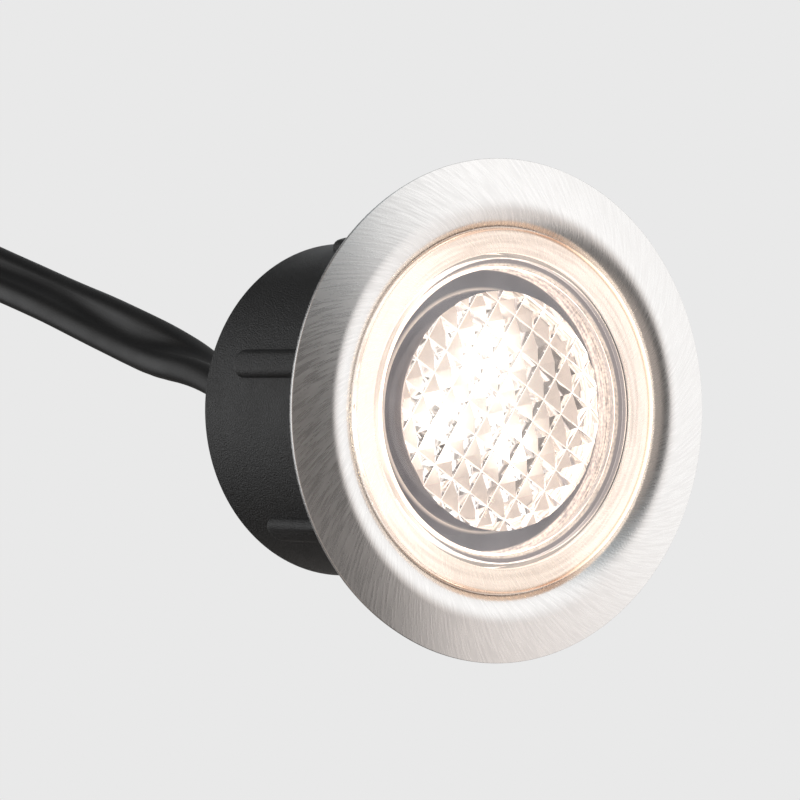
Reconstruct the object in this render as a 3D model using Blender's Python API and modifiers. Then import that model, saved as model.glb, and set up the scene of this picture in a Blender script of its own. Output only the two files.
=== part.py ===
"""Recessed deck light: a dished steel ring, a screwed-in prismatic lens and a ribbed cup for a deck board.

The light faces up. The origin is the centre of the ring's underside, on the face of the deck, and +Z points
out of the deck. The flat twin cord leaves the back of the cup and hangs below it.
"""

import math

import bmesh
import bpy
from mathutils import Matrix, Vector

# Trim ring, pressed from one sheet: the radii of the rest follow inwards from its own
TRIM_RADIUS = 0.0225
TRIM_SHEET = 0.0006
TRIM_FACE = 0.0041
TRIM_SLOPE = math.radians(16.0)
CREST_BEND = 0.0024
CREST_STEPS = 9
LENS_POCKET = 0.00016
LEDGE_CLEARANCE = 0.0005

# Clear lens
RIM_WIDTH = 0.00275
SKIRT_WALL = 0.00285
RIM_THICKNESS = 0.0007
LENS_EDGE = 0.0002
SKIRT_LENGTH = 0.0051
PRISM_DEPTH = 0.0017
PRISM_PITCH = 0.00225
PRISM_HEIGHT = 0.0006
PRISM_TURN = math.radians(56.6)

# Seal of the lens
SEAL_CORD = 0.0010
SEAL_GROOVE_DEPTH = 0.0009
SEAL_GROOVE_DROP = 0.0003
SEAL_CLEARANCE = 0.0001

# Housing
THREAD_ROOM = 0.0006
HOUSING_WALL = 0.0013
HOUSING_LENGTH = 0.0248
HOUSING_FLOOR = 0.0016
HOUSING_BACK_ROUND = 0.0004
HOUSING_LEAD_IN = 0.0004
SHELF_WIDTH = 0.0014
RIB_COUNT = 6
RIB_WIDTH = 0.0026
RIB_HEIGHT = 0.0008
RIB_TO_BACK = 0.0049
RIB_TOP = 0.0008
RIB_EDGE = 0.0004
RIB_PHASE = math.radians(254.1)

# Deck gasket
GASKET_MARGIN = 0.0013
GASKET_LEAN = math.radians(42.0)
GASKET_CLEARANCE = 0.00015

# Circuit board and what it carries
BOARD_FIT = 0.0004
BOARD_DROP = 0.0003
BOARD_THICKNESS = 0.0009
LED_CIRCLE = 0.0050
LED_LENGTH = 0.0035
LED_WIDTH = 0.0028
LED_HEIGHT = 0.00075
LED_CUP_RADIUS = 0.00115
LED_CUP_DEPTH = 0.00025
LED_EDGE = 0.00008
LED_ANGLES = (math.radians(78.0), math.radians(198.0), math.radians(318.0))
CHIP_GAP = 0.00005
RECTIFIER_SIZE = (0.0047, 0.0039, 0.0017)
REGULATOR_SIZE = (0.0045, 0.0025, 0.0015)
RESISTOR_SIZE = (0.0032, 0.0016, 0.0006)
LEAD_WIDTH = 0.0006
LEAD_REACH = 0.0010
LEAD_THICKNESS = 0.0003
CHIP_EDGE = 0.0002
CHIP_OFFSET = 0.0052
RESISTOR_OFFSET = 0.0021

# Core wires, cable entry and potting
CORE_RADIUS = 0.00065
CORE_SPACING = 0.0028
CORE_INSET = 0.0034
POTTING_HEIGHT = 0.0055
CORE_CLEARANCE = 0.0002
GROMMET_WALL = 0.0007
GROMMET_LIP = 0.0015
GROMMET_FLANGE = 0.0010
GROMMET_TIP_WALL = 0.0006
GROMMET_TAPER = 0.0010
GROMMET_NOSE = 0.0060

# Cord: its route from the tip of the grommet's nose, then the coil of the rest
CORD_WIDTH = 0.0056
CORD_ROUTE = (
    (0.0, 0.0, 0.0),
    (0.0, 0.0, -0.0040),
    (-0.0010, 0.0, -0.0086),
    (-0.0038, 0.0, -0.0174),
    (-0.0058, 0.0, -0.0250),
    (-0.0086, 0.0, -0.0357),
    (-0.0107, 0.0, -0.0440),
    (-0.0130, 0.0, -0.0534),
    (-0.0156, 0.0, -0.0647),
    (-0.0178, 0.0, -0.0767),
    (-0.0192, 0.0, -0.0892),
    (-0.0195, 0.0, -0.0977),
    (-0.0195, 0.0, -0.1020),
)
ROUTE_STEPS = 2
COIL_RADIUS = 0.0380
COIL_TURNS = 4
COIL_TURN_SPACE = 0.0006
COIL_LAYER_SPACE = 0.0005
COIL_TUCK = 0.0010
COIL_POINTS = 24
COIL_TAIL = 0.0260
TAIL_POINTS = 4
TIE_TURN_SHARE = 0.75
TIE_THICKNESS = 0.0011
TIE_WIDTH = 0.0050
TIE_CORNER = 0.0030
TIE_CLEARANCE = 0.00035

# Plug at the cord's end: radii from its barrel outwards, lengths from its cord end towards its pins
PLUG_BOOT_WALL = 0.0008
PLUG_BOOT = 0.0100
PLUG_GRIP = 0.0100
PLUG_GRIP_STEP = 0.0009
PLUG_BARREL = 0.0046
PLUG_FLANGE_STEP = 0.0010
PLUG_FLANGE = 0.0015
PLUG_NOSE = 0.0020
PLUG_EDGE = 0.0004
PIN_RADIUS = 0.0008
PIN_SPACING = 0.0038
PIN_HOLE_DEPTH = 0.0030
PIN_REACH = 0.0055
PLUG_SEAL_CORD = 0.0009
NUT_BACK_ROOM = 0.0010
NUT_LIP = 0.0025
NUT_PLAY = 0.0010
NUT_CLEARANCE = 0.0005
NUT_WALL = 0.0011
NUT_LENGTH = 0.0130
NUT_EDGE = 0.0006
FLUTE_COUNT = 16
FLUTE_RADIUS = 0.0007
FLUTE_DEPTH = 0.0004

# Clearances and the overrun of every cut
GAP = 0.0001
CORD_GAP = 0.0003
OVERRUN = 0.0010
ROUND = 64
SMALL_ROUND = 32
MERGE = 1e-6

# Ring and lens, as they follow from the sizes above
LEDGE_TOP = TRIM_SHEET
EDGE_HEIGHT = TRIM_SHEET * math.cos(TRIM_SLOPE)
FACE_RISE = (TRIM_FACE - CREST_BEND * math.sin(TRIM_SLOPE)) * math.tan(TRIM_SLOPE)
CREST_MIDDLE = EDGE_HEIGHT + FACE_RISE - CREST_BEND * math.cos(TRIM_SLOPE)
CREST_INWARD = math.acos((LEDGE_TOP - CREST_MIDDLE) / CREST_BEND)
CREST_RADIUS = TRIM_RADIUS - TRIM_FACE
LENS_RADIUS = CREST_RADIUS - CREST_BEND * math.sin(CREST_INWARD) - LENS_POCKET
SKIRT_RADIUS = LENS_RADIUS - RIM_WIDTH
SKIRT_BORE = SKIRT_RADIUS - SKIRT_WALL
LEDGE_RADIUS = SKIRT_RADIUS + LEDGE_CLEARANCE
RIM_UNDERSIDE = LEDGE_TOP + GAP
LENS_FRONT = RIM_UNDERSIDE + RIM_THICKNESS
SKIRT_END = RIM_UNDERSIDE - SKIRT_LENGTH
PRISM_PLANE = LENS_FRONT - PRISM_DEPTH
SEAL_GROOVE_WIDTH = SEAL_CORD + 2 * SEAL_CLEARANCE
SEAL_MIDDLE = PRISM_PLANE - SEAL_GROOVE_DROP - SEAL_GROOVE_WIDTH / 2

# Housing and what it holds, as they follow
HOUSING_TOP = -GAP
HOUSING_BORE = SKIRT_RADIUS + THREAD_ROOM
HOUSING_RADIUS = HOUSING_BORE + HOUSING_WALL
HOUSING_INNER = HOUSING_BORE - SHELF_WIDTH
FLOOR_TOP = HOUSING_FLOOR - HOUSING_LENGTH
BOARD_RADIUS = HOUSING_BORE - BOARD_FIT
BOARD_TOP = SKIRT_END - BOARD_DROP
BOARD_UNDERSIDE = BOARD_TOP - BOARD_THICKNESS
SHELF_TOP = BOARD_UNDERSIDE - GAP
GROMMET_NECK = CORD_WIDTH / 2 + GROMMET_WALL
GROMMET_FLANGE_RADIUS = GROMMET_NECK + GROMMET_LIP
GROMMET_NOSE_TIP = CORD_WIDTH / 2 + GROMMET_TIP_WALL
GROMMET_NOSE_ROOT = GROMMET_NOSE_TIP + GROMMET_TAPER
GROMMET_BACK = -HOUSING_LENGTH - GAP
GROMMET_END = GROMMET_BACK - GROMMET_FLANGE - GROMMET_NOSE

# Cord and plug, as they follow
COIL_STEP = CORD_WIDTH + COIL_TURN_SPACE
COIL_LAYER = CORD_WIDTH + COIL_LAYER_SPACE
CORD_START = Vector((0.0, 0.0, GROMMET_END - CORD_GAP))
CORD_END = CORD_START + Vector(CORD_ROUTE[-1])
COIL_CENTRE = CORD_END + Vector((COIL_RADIUS, 0.0, -CORD_GAP - CORD_WIDTH))
PLUG_TOP = COIL_CENTRE + Vector((-COIL_RADIUS, -COIL_LAYER, -COIL_TAIL - CORD_GAP))
PLUG_BOOT_RADIUS = CORD_WIDTH / 2 + PLUG_BOOT_WALL
PLUG_GRIP_RADIUS = PLUG_BARREL + PLUG_GRIP_STEP
PLUG_GRIP_END = PLUG_BOOT + PLUG_GRIP
NUT_START = PLUG_GRIP_END + NUT_BACK_ROOM
NUT_LIP_END = NUT_START + NUT_LIP
PLUG_FLANGE_START = NUT_LIP_END + NUT_PLAY
PLUG_FLANGE_END = PLUG_FLANGE_START + PLUG_FLANGE
PLUG_NOSE_END = PLUG_FLANGE_END + PLUG_NOSE
PLUG_FLANGE_RADIUS = PLUG_BARREL + PLUG_FLANGE_STEP
NUT_BORE = PLUG_FLANGE_RADIUS + NUT_CLEARANCE
NUT_RADIUS = NUT_BORE + NUT_WALL


def clear_scene():
    """Removes whatever the scene holds."""
    for thing in list(bpy.data.objects):
        bpy.data.objects.remove(thing, do_unlink=True)


def collection(name):
    """A new collection in the scene."""
    made = bpy.data.collections.new(name)
    bpy.context.scene.collection.children.link(made)
    return made


def material(name, colour, roughness, metallic=0.0, transmission=0.0):
    """A Principled material with one colour."""
    made = bpy.data.materials.new(name)
    made.use_nodes = True
    shader = made.node_tree.nodes["Principled BSDF"]
    shader.inputs["Base Color"].default_value = (*colour, 1.0)
    shader.inputs["Roughness"].default_value = roughness
    shader.inputs["Metallic"].default_value = metallic
    shader.inputs["Transmission Weight"].default_value = transmission
    made.diffuse_color = (*colour, 1.0)
    return made


def add(name, mesh, where, finish=None):
    """An object for a mesh or a curve, in a collection, with its finish."""
    thing = bpy.data.objects.new(name, mesh)
    where.objects.link(thing)
    if finish is not None:
        mesh.materials.append(finish)
    return thing


def smooth(mesh):
    """Smooth shading that keeps the sharp edges."""
    mesh.shade_smooth()
    mesh.set_sharp_from_angle(angle=math.radians(35.0))


def from_bmesh(name, made):
    """A mesh from a bmesh, which is freed."""
    mesh = bpy.data.meshes.new(name)
    made.to_mesh(mesh)
    made.free()
    return mesh


def turned(name, profile, where, finish=None, closed=True, steps=ROUND):
    """A profile of (radius, height) points turned about Z by a Screw modifier.

    A closed profile runs down its outer side, and one that starts and ends on the axis stays open there.
    """
    made = bmesh.new()
    points = [made.verts.new((radius, 0.0, height)) for radius, height in profile]
    for first, second in zip(points, points[1:]):
        made.edges.new((first, second))
    if closed:
        made.edges.new((points[-1], points[0]))
    thing = add(name, from_bmesh(name, made), where, finish)
    screw = thing.modifiers.new("Turn", "SCREW")
    screw.steps = steps
    screw.render_steps = steps
    screw.use_merge_vertices = True
    screw.merge_threshold = MERGE
    screw.use_smooth_shade = True
    return thing


def boolean(thing, operation, cutter):
    """Adds an exact Boolean with another object."""
    step = thing.modifiers.new(operation.title(), "BOOLEAN")
    step.operation = operation
    step.solver = "EXACT"
    step.object = cutter


def as_cutter(thing):
    """Hides a helper from the render and draws it as wire."""
    thing.hide_render = True
    thing.display_type = "WIRE"
    return thing


def block(name, size, where, finish=None, edge=0.0):
    """A box centred on its own origin, with rounded edges where an edge width is given."""
    made = bmesh.new()
    bmesh.ops.create_cube(made, size=1.0)
    bmesh.ops.scale(made, vec=Vector(size), verts=made.verts)
    thing = add(name, from_bmesh(name, made), where, finish)
    if edge:
        bevel = thing.modifiers.new("Edges", "BEVEL")
        bevel.width = edge
        bevel.segments = 2
        bevel.limit_method = "ANGLE"
    return thing


def cylinder(name, radius, low, high, where, finish=None, steps=ROUND):
    """An upright cylinder between two heights of its own frame."""
    made = bmesh.new()
    bmesh.ops.create_cone(
        made, cap_ends=True, segments=steps, radius1=radius, radius2=radius, depth=high - low
    )
    bmesh.ops.translate(made, vec=Vector((0.0, 0.0, (low + high) / 2)), verts=made.verts)
    mesh = from_bmesh(name, made)
    smooth(mesh)
    return add(name, mesh, where, finish)


def tube(name, points, radius, where, finish, resolution=2):
    """A closed round tube along a list of points."""
    curve = bpy.data.curves.new(name, "CURVE")
    curve.dimensions = "3D"
    curve.bevel_depth = radius
    curve.bevel_resolution = resolution
    curve.use_fill_caps = True
    spline = curve.splines.new("POLY")
    spline.points.add(len(points) - 1)
    for slot, point in zip(spline.points, points):
        slot.co = (*point, 1.0)
    return add(name, curve, where, finish)


def ring_section(radius, height, cord, steps):
    """The round section of a seal, clockwise as a Screw profile wants it."""
    turns = [-math.tau * step / steps for step in range(steps)]
    return [
        (radius + cord / 2 * math.cos(turn), height + cord / 2 * math.sin(turn)) for turn in turns
    ]


def smooth_route(points, steps):
    """Points along a Catmull-Rom curve through the route's own points."""
    padded = [points[0] * 2 - points[1], *points, points[-1] * 2 - points[-2]]
    made = []
    for before, start, end, after in zip(padded, padded[1:], padded[2:], padded[3:]):
        for step in range(steps):
            share = step / steps
            made.append(
                0.5
                * (
                    2 * start
                    + (end - before) * share
                    + (2 * before - 5 * start + 4 * end - after) * share**2
                    + (3 * start - before - 3 * end + after) * share**3
                )
            )
    made.append(points[-1])
    return made


def on_bend(radius, lean):
    """A point of a bend about the middle of the crest, at a lean from upright: inward is negative."""
    return (CREST_RADIUS + radius * math.sin(lean), CREST_MIDDLE + radius * math.cos(lean))


def make_trim_ring(where, finish):
    """The pressed ring: ledge, steep inner side, rolled crest and sloped face, one sheet thick."""
    profile = [(LEDGE_RADIUS, LEDGE_TOP)]
    for step in range(CREST_STEPS + 1):
        lean = -CREST_INWARD + (CREST_INWARD + TRIM_SLOPE) * step / CREST_STEPS
        profile.append(on_bend(CREST_BEND, lean))
    profile.append((TRIM_RADIUS, EDGE_HEIGHT))
    ring = turned("trim_ring", profile, where, finish, closed=False)
    sheet = ring.modifiers.new("Sheet", "SOLIDIFY")
    sheet.thickness = TRIM_SHEET
    sheet.offset = -1.0
    sheet.use_even_offset = True
    return ring


def make_gasket(where, finish):
    """A soft ring that fills the hollow of the trim and seats on the deck."""
    bend = CREST_BEND - TRIM_SHEET - GASKET_CLEARANCE
    outer = TRIM_RADIUS - GASKET_MARGIN
    inner = CREST_RADIUS - bend * math.sin(GASKET_LEAN)
    edge_radius = TRIM_RADIUS - TRIM_SHEET * math.sin(TRIM_SLOPE)
    outer_height = (edge_radius - outer) * math.tan(TRIM_SLOPE) - GASKET_CLEARANCE
    profile = [(outer, outer_height), (outer, 0.0), (inner, 0.0)]
    profile += [on_bend(bend, lean) for lean in (-GASKET_LEAN, 0.0, TRIM_SLOPE)]
    return turned("deck_gasket", profile, where, finish)


def make_prism_cutter(where):
    """The cavity of the lens, whose top is a square field of pyramids cut to the skirt's bore."""
    count = 2 * math.ceil(SKIRT_BORE / PRISM_PITCH) + 1
    low = -count * PRISM_PITCH / 2
    made = bmesh.new()
    corners = [
        [made.verts.new((low + i * PRISM_PITCH, low + j * PRISM_PITCH, 0.0)) for j in range(count + 1)]
        for i in range(count + 1)
    ]
    for i in range(count):
        for j in range(count):
            square = (corners[i][j], corners[i + 1][j], corners[i + 1][j + 1], corners[i][j + 1])
            middle = (square[0].co + square[2].co) / 2
            apex = made.verts.new(middle + Vector((0.0, 0.0, PRISM_HEIGHT)))
            for first, second in zip(square, (*square[1:], square[0])):
                made.faces.new((first, second, apex))
    border = [edge for edge in made.edges if edge.is_boundary]
    walls = bmesh.ops.extrude_edge_only(made, edges=border)["geom"]
    lowered = [part for part in walls if isinstance(part, bmesh.types.BMVert)]
    drop = PRISM_PLANE - SKIRT_END + OVERRUN
    bmesh.ops.translate(made, vec=Vector((0.0, 0.0, -drop)), verts=lowered)
    bmesh.ops.holes_fill(made, edges=[edge for edge in made.edges if edge.is_boundary], sides=0)
    bmesh.ops.recalc_face_normals(made, faces=made.faces)
    field = as_cutter(add("prism_field", from_bmesh("prism_field", made), where))
    field.location.z = PRISM_PLANE
    field.rotation_euler.z = PRISM_TURN
    bore = cylinder("prism_bore", SKIRT_BORE, SKIRT_END - 2 * OVERRUN, LENS_FRONT, where)
    boolean(field, "INTERSECT", as_cutter(bore))
    return field


def make_lens(where, finish, helpers):
    """The clear moulding: flat front, rim, seal groove, thick skirt and a ceiling of pyramid pits."""
    groove_floor = SKIRT_RADIUS - SEAL_GROOVE_DEPTH
    groove_top = SEAL_MIDDLE + SEAL_GROOVE_WIDTH / 2
    groove_end = SEAL_MIDDLE - SEAL_GROOVE_WIDTH / 2
    profile = [
        (0.0, LENS_FRONT),
        (LENS_RADIUS - LENS_EDGE, LENS_FRONT),
        (LENS_RADIUS, LENS_FRONT - LENS_EDGE),
        (LENS_RADIUS, RIM_UNDERSIDE),
        (SKIRT_RADIUS, RIM_UNDERSIDE),
        (SKIRT_RADIUS, groove_top),
        (groove_floor, groove_top),
        (groove_floor, groove_end),
        (SKIRT_RADIUS, groove_end),
        (SKIRT_RADIUS, SKIRT_END + LENS_EDGE),
        (SKIRT_RADIUS - LENS_EDGE, SKIRT_END),
        (0.0, SKIRT_END),
    ]
    lens = turned("lens", profile, where, finish, closed=False)
    boolean(lens, "DIFFERENCE", make_prism_cutter(helpers))
    return lens


def make_seal(where, finish):
    """The O-ring in the skirt's groove."""
    middle = SKIRT_RADIUS - SEAL_GROOVE_DEPTH + 2 * SEAL_CLEARANCE + SEAL_CORD / 2
    return turned("lens_seal", ring_section(middle, SEAL_MIDDLE, SEAL_CORD, 8), where, finish)


def make_rib(name, angle, where):
    """One crush rib as an extruded outline: straight sides and a round end towards the back."""
    half = RIB_WIDTH / 2
    top = -RIB_TOP
    end_middle = RIB_TO_BACK + half - HOUSING_LENGTH
    outline = [(half, top), (-half, top)]
    for step in range(9):
        turn = math.pi + math.pi * step / 8
        outline.append((half * math.cos(turn), end_middle + half * math.sin(turn)))
    made = bmesh.new()
    root = HOUSING_RADIUS - HOUSING_WALL / 2
    depth = HOUSING_RADIUS + RIB_HEIGHT - root
    face = made.faces.new([made.verts.new((root, across, along)) for across, along in outline])
    pushed = bmesh.ops.extrude_face_region(made, geom=[face])["geom"]
    crown = [part for part in pushed if isinstance(part, bmesh.types.BMVert)]
    bmesh.ops.translate(made, vec=Vector((depth, 0.0, 0.0)), verts=crown)
    crown_edges = [edge for edge in made.edges if edge.verts[0] in crown and edge.verts[1] in crown]
    bmesh.ops.bevel(made, geom=crown_edges, offset=RIB_EDGE, segments=2, affect="EDGES", profile=0.5)
    bmesh.ops.recalc_face_normals(made, faces=made.faces)
    rib = as_cutter(add(name, from_bmesh(name, made), where))
    rib.rotation_euler.z = angle
    return rib


def make_housing(where, finish, helpers):
    """The moulded cup: bore for the lens, shelf for the board, cable hole and six outer ribs."""
    back = -HOUSING_LENGTH
    hole = GROMMET_NECK + GAP
    profile = [
        (HOUSING_BORE + HOUSING_LEAD_IN, HOUSING_TOP),
        (HOUSING_RADIUS, HOUSING_TOP),
    ]
    for step in range(5):
        turn = math.pi / 2 * step / 4
        profile.append(
            (
                HOUSING_RADIUS - HOUSING_BACK_ROUND * (1 - math.cos(turn)),
                back + HOUSING_BACK_ROUND * (1 - math.sin(turn)),
            )
        )
    profile += [
        (hole, back),
        (hole, FLOOR_TOP),
        (HOUSING_INNER, FLOOR_TOP),
        (HOUSING_INNER, SHELF_TOP),
        (HOUSING_BORE, SHELF_TOP),
        (HOUSING_BORE, HOUSING_TOP - HOUSING_LEAD_IN),
    ]
    housing = turned("housing", profile, where, finish)
    for number in range(RIB_COUNT):
        angle = RIB_PHASE + math.tau * number / RIB_COUNT
        boolean(housing, "UNION", make_rib(f"rib_{number + 1}", angle, helpers))
    return housing


def make_board(where, finish):
    """The round circuit board on the housing's shelf."""
    return cylinder("circuit_board", BOARD_RADIUS, BOARD_UNDERSIDE, BOARD_TOP, where, finish)


def make_leds(where, finish, helpers):
    """Three LED packages on the board, each with its cup."""
    size = (LED_LENGTH, LED_WIDTH, LED_HEIGHT)
    for number, angle in enumerate(LED_ANGLES, 1):
        led = block(f"led_{number}", size, where, finish, LED_EDGE)
        middle = Vector((-math.sin(angle), math.cos(angle), 0.0)) * LED_CIRCLE
        middle.z = BOARD_TOP + CHIP_GAP + LED_HEIGHT / 2
        led.location = middle
        led.rotation_euler.z = angle
        top = LED_HEIGHT / 2
        cup = cylinder(
            f"led_cup_{number}", LED_CUP_RADIUS, top - LED_CUP_DEPTH, top + OVERRUN, helpers, None, 24
        )
        cup.location = middle
        boolean(led, "DIFFERENCE", as_cutter(cup))


def make_chip(name, size, place, leads, where, finish, helpers):
    """A chip under the board, with pairs of short leads on its two long sides."""
    length, width, height = size
    middle = Vector((*place, BOARD_UNDERSIDE - CHIP_GAP - height / 2))
    chip = block(name, size, where, finish, CHIP_EDGE)
    chip.location = middle
    for number in range(leads):
        across = length * ((number + 0.5) / leads - 0.5)
        lead_size = (LEAD_WIDTH, width + 2 * LEAD_REACH, LEAD_THICKNESS)
        lead = block(f"{name}_lead_{number + 1}", lead_size, helpers)
        lead.location = middle + Vector((across, 0.0, height / 2 - LEAD_THICKNESS))
        boolean(chip, "UNION", as_cutter(lead))
    return chip


def make_drive(where, finish, helpers):
    """The low-voltage drive under the board: rectifier, regulator and two resistors."""
    make_chip("bridge_rectifier", RECTIFIER_SIZE, (-CHIP_OFFSET, 0.0), 2, where, finish, helpers)
    make_chip("current_regulator", REGULATOR_SIZE, (CHIP_OFFSET, 0.0), 3, where, finish, helpers)
    for number, side in enumerate((-1, 1), 1):
        resistor = block(f"resistor_{number}", RESISTOR_SIZE, where, finish, CHIP_EDGE / 2)
        under = BOARD_UNDERSIDE - CHIP_GAP - RESISTOR_SIZE[2] / 2
        resistor.location = (0.0, side * RESISTOR_OFFSET, under)


def core_route(side):
    """Where one core runs, from the grommet straight up through the potting and out to the board."""
    low = FLOOR_TOP + GAP + GROMMET_FLANGE + CORD_GAP
    high = BOARD_UNDERSIDE - CHIP_GAP
    near = side * CORE_SPACING / 2
    far = side * (HOUSING_INNER - CORE_INSET)
    free = FLOOR_TOP + POTTING_HEIGHT + OVERRUN
    bent = high - 2 * CORE_RADIUS
    rise = bent - free
    return [
        Vector((0.0, near, low)),
        Vector((0.0, near, free)),
        *[
            Vector((0.0, near + (far - near) * share * share * (3 - 2 * share), free + rise * share))
            for share in (0.2, 0.4, 0.6, 0.8, 1.0)
        ],
        Vector((0.0, far, high)),
    ]


def make_cores(where, finishes):
    """The two core wires between the cable entry and the board."""
    for number, side in enumerate((-1, 1), 1):
        tube(f"core_wire_{number}", core_route(side), CORE_RADIUS, where, finishes[number - 1])


def make_potting(where, finish, helpers):
    """The cast plug over the cable entry, with a channel round each core."""
    top = FLOOR_TOP + POTTING_HEIGHT
    recess = FLOOR_TOP + GAP + GROMMET_FLANGE + GAP
    wide = HOUSING_INNER - CORD_GAP
    narrow = GROMMET_FLANGE_RADIUS + CORD_GAP
    profile = [
        (0.0, top),
        (wide, top),
        (wide, FLOOR_TOP + GAP),
        (narrow, FLOOR_TOP + GAP),
        (narrow, recess),
        (0.0, recess),
    ]
    potting = turned("potting_compound", profile, where, finish, closed=False, steps=SMALL_ROUND)
    for number, side in enumerate((-1, 1), 1):
        name = f"core_channel_{number}"
        reach = (recess - OVERRUN, top + OVERRUN)
        channel = cylinder(name, CORE_RADIUS + CORE_CLEARANCE, *reach, helpers, None, 16)
        channel.location.y = side * CORE_SPACING / 2
        boolean(potting, "DIFFERENCE", as_cutter(channel))
    return potting


def make_grommet(where, finish):
    """The rubber bush in the back wall, with a tapered nose for the cord."""
    inside = FLOOR_TOP + GAP
    profile = [
        (0.0, inside + GROMMET_FLANGE),
        (GROMMET_FLANGE_RADIUS, inside + GROMMET_FLANGE),
        (GROMMET_FLANGE_RADIUS, inside),
        (GROMMET_NECK, inside),
        (GROMMET_NECK, GROMMET_BACK),
        (GROMMET_FLANGE_RADIUS, GROMMET_BACK),
        (GROMMET_FLANGE_RADIUS, GROMMET_BACK - GROMMET_FLANGE),
        (GROMMET_NOSE_ROOT, GROMMET_BACK - GROMMET_FLANGE),
        (GROMMET_NOSE_TIP, GROMMET_END),
        (0.0, GROMMET_END),
    ]
    return turned("cable_grommet", profile, where, finish, closed=False, steps=SMALL_ROUND)


def coil_point(turns):
    """A point of the coil after a number of turns: it spirals in, changes layer and spirals out again."""
    inner_turns = COIL_TURNS / 2 - 0.25
    inward = min(turns, inner_turns, COIL_TURNS - turns)
    climb = min(max((turns - inner_turns) / 0.5, 0.0), 1.0)
    radius = COIL_RADIUS - COIL_STEP * inward - COIL_TUCK * math.sin(math.pi * climb)
    layer = COIL_LAYER * climb * climb * (3 - 2 * climb)
    turn = math.pi + math.tau * turns
    return COIL_CENTRE + Vector((radius * math.cos(turn), -layer, radius * math.sin(turn)))


def coil_points():
    """All points of the coiled cord: a straight start, the turns and a straight tail to the plug."""
    steps = COIL_TURNS * COIL_POINTS
    turns = [coil_point(COIL_TURNS * step / steps) for step in range(steps + 1)]
    start = turns[0] + Vector((0.0, 0.0, CORD_WIDTH))
    tail = [
        turns[-1] - Vector((0.0, 0.0, COIL_TAIL * step / TAIL_POINTS))
        for step in range(1, TAIL_POINTS + 1)
    ]
    return [start, *turns, *tail]


def report_coil_gap(points):
    """Prints the least gap between turns of the coil, measured on its points."""
    reach = COIL_POINTS // 2
    least = min(
        (near - far).length
        for index, near in enumerate(points)
        for far in points[index + reach :]
    )
    print(f"least gap of the coil to itself: {(least - CORD_WIDTH) * 1000:.2f} mm")


def make_cord(where, finish):
    """The free stretch from the grommet and the coil of the rest."""
    route = [CORD_START + Vector(point) for point in CORD_ROUTE]
    tube("cord", smooth_route(route, ROUTE_STEPS), CORD_WIDTH / 2, where, finish, 3)
    points = coil_points()
    report_coil_gap(points)
    tube("cord_coil", points, CORD_WIDTH / 2, where, finish, 1)


def rounded_outline(curve, half_width, half_height, corner):
    """Adds a rounded rectangle to a flat curve."""
    spline = curve.splines.new("POLY")
    points = []
    for quarter in range(4):
        across = (half_width - corner) * (1 if quarter in (0, 3) else -1)
        up = (half_height - corner) * (1 if quarter in (0, 1) else -1)
        for step in range(5):
            turn = math.pi / 2 * (quarter + step / 4)
            points.append((across + corner * math.cos(turn), up + corner * math.sin(turn)))
    spline.points.add(len(points) - 1)
    for slot, (across, up) in zip(spline.points, points):
        slot.co = (across, up, 0.0, 1.0)
    spline.use_cyclic_u = True


def make_tie(where, finish):
    """The band round the coil's strands at the top of the coil."""
    strands = [coil_point(TIE_TURN_SHARE + number) for number in range(COIL_TURNS)]
    margin = CORD_WIDTH / 2 + TIE_CLEARANCE
    low = min(strand.z for strand in strands) - margin
    high = max(strand.z for strand in strands) + margin
    near = min(strand.y for strand in strands) - margin
    far = max(strand.y for strand in strands) + margin
    curve = bpy.data.curves.new("coil_tie", "CURVE")
    curve.dimensions = "2D"
    curve.fill_mode = "BOTH"
    curve.extrude = TIE_WIDTH / 2
    half_width = (far - near) / 2
    half_height = (high - low) / 2
    rounded_outline(curve, half_width, half_height, TIE_CORNER - TIE_THICKNESS)
    rounded_outline(curve, half_width + TIE_THICKNESS, half_height + TIE_THICKNESS, TIE_CORNER)
    tie = add("coil_tie", curve, where, finish)
    tie.matrix_world = Matrix.Translation(
        Vector((COIL_CENTRE.x, (near + far) / 2, (low + high) / 2))
    ) @ Matrix(((0, 0, 1, 0), (1, 0, 0, 0), (0, 1, 0, 0), (0, 0, 0, 1)))
    return tie


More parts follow.
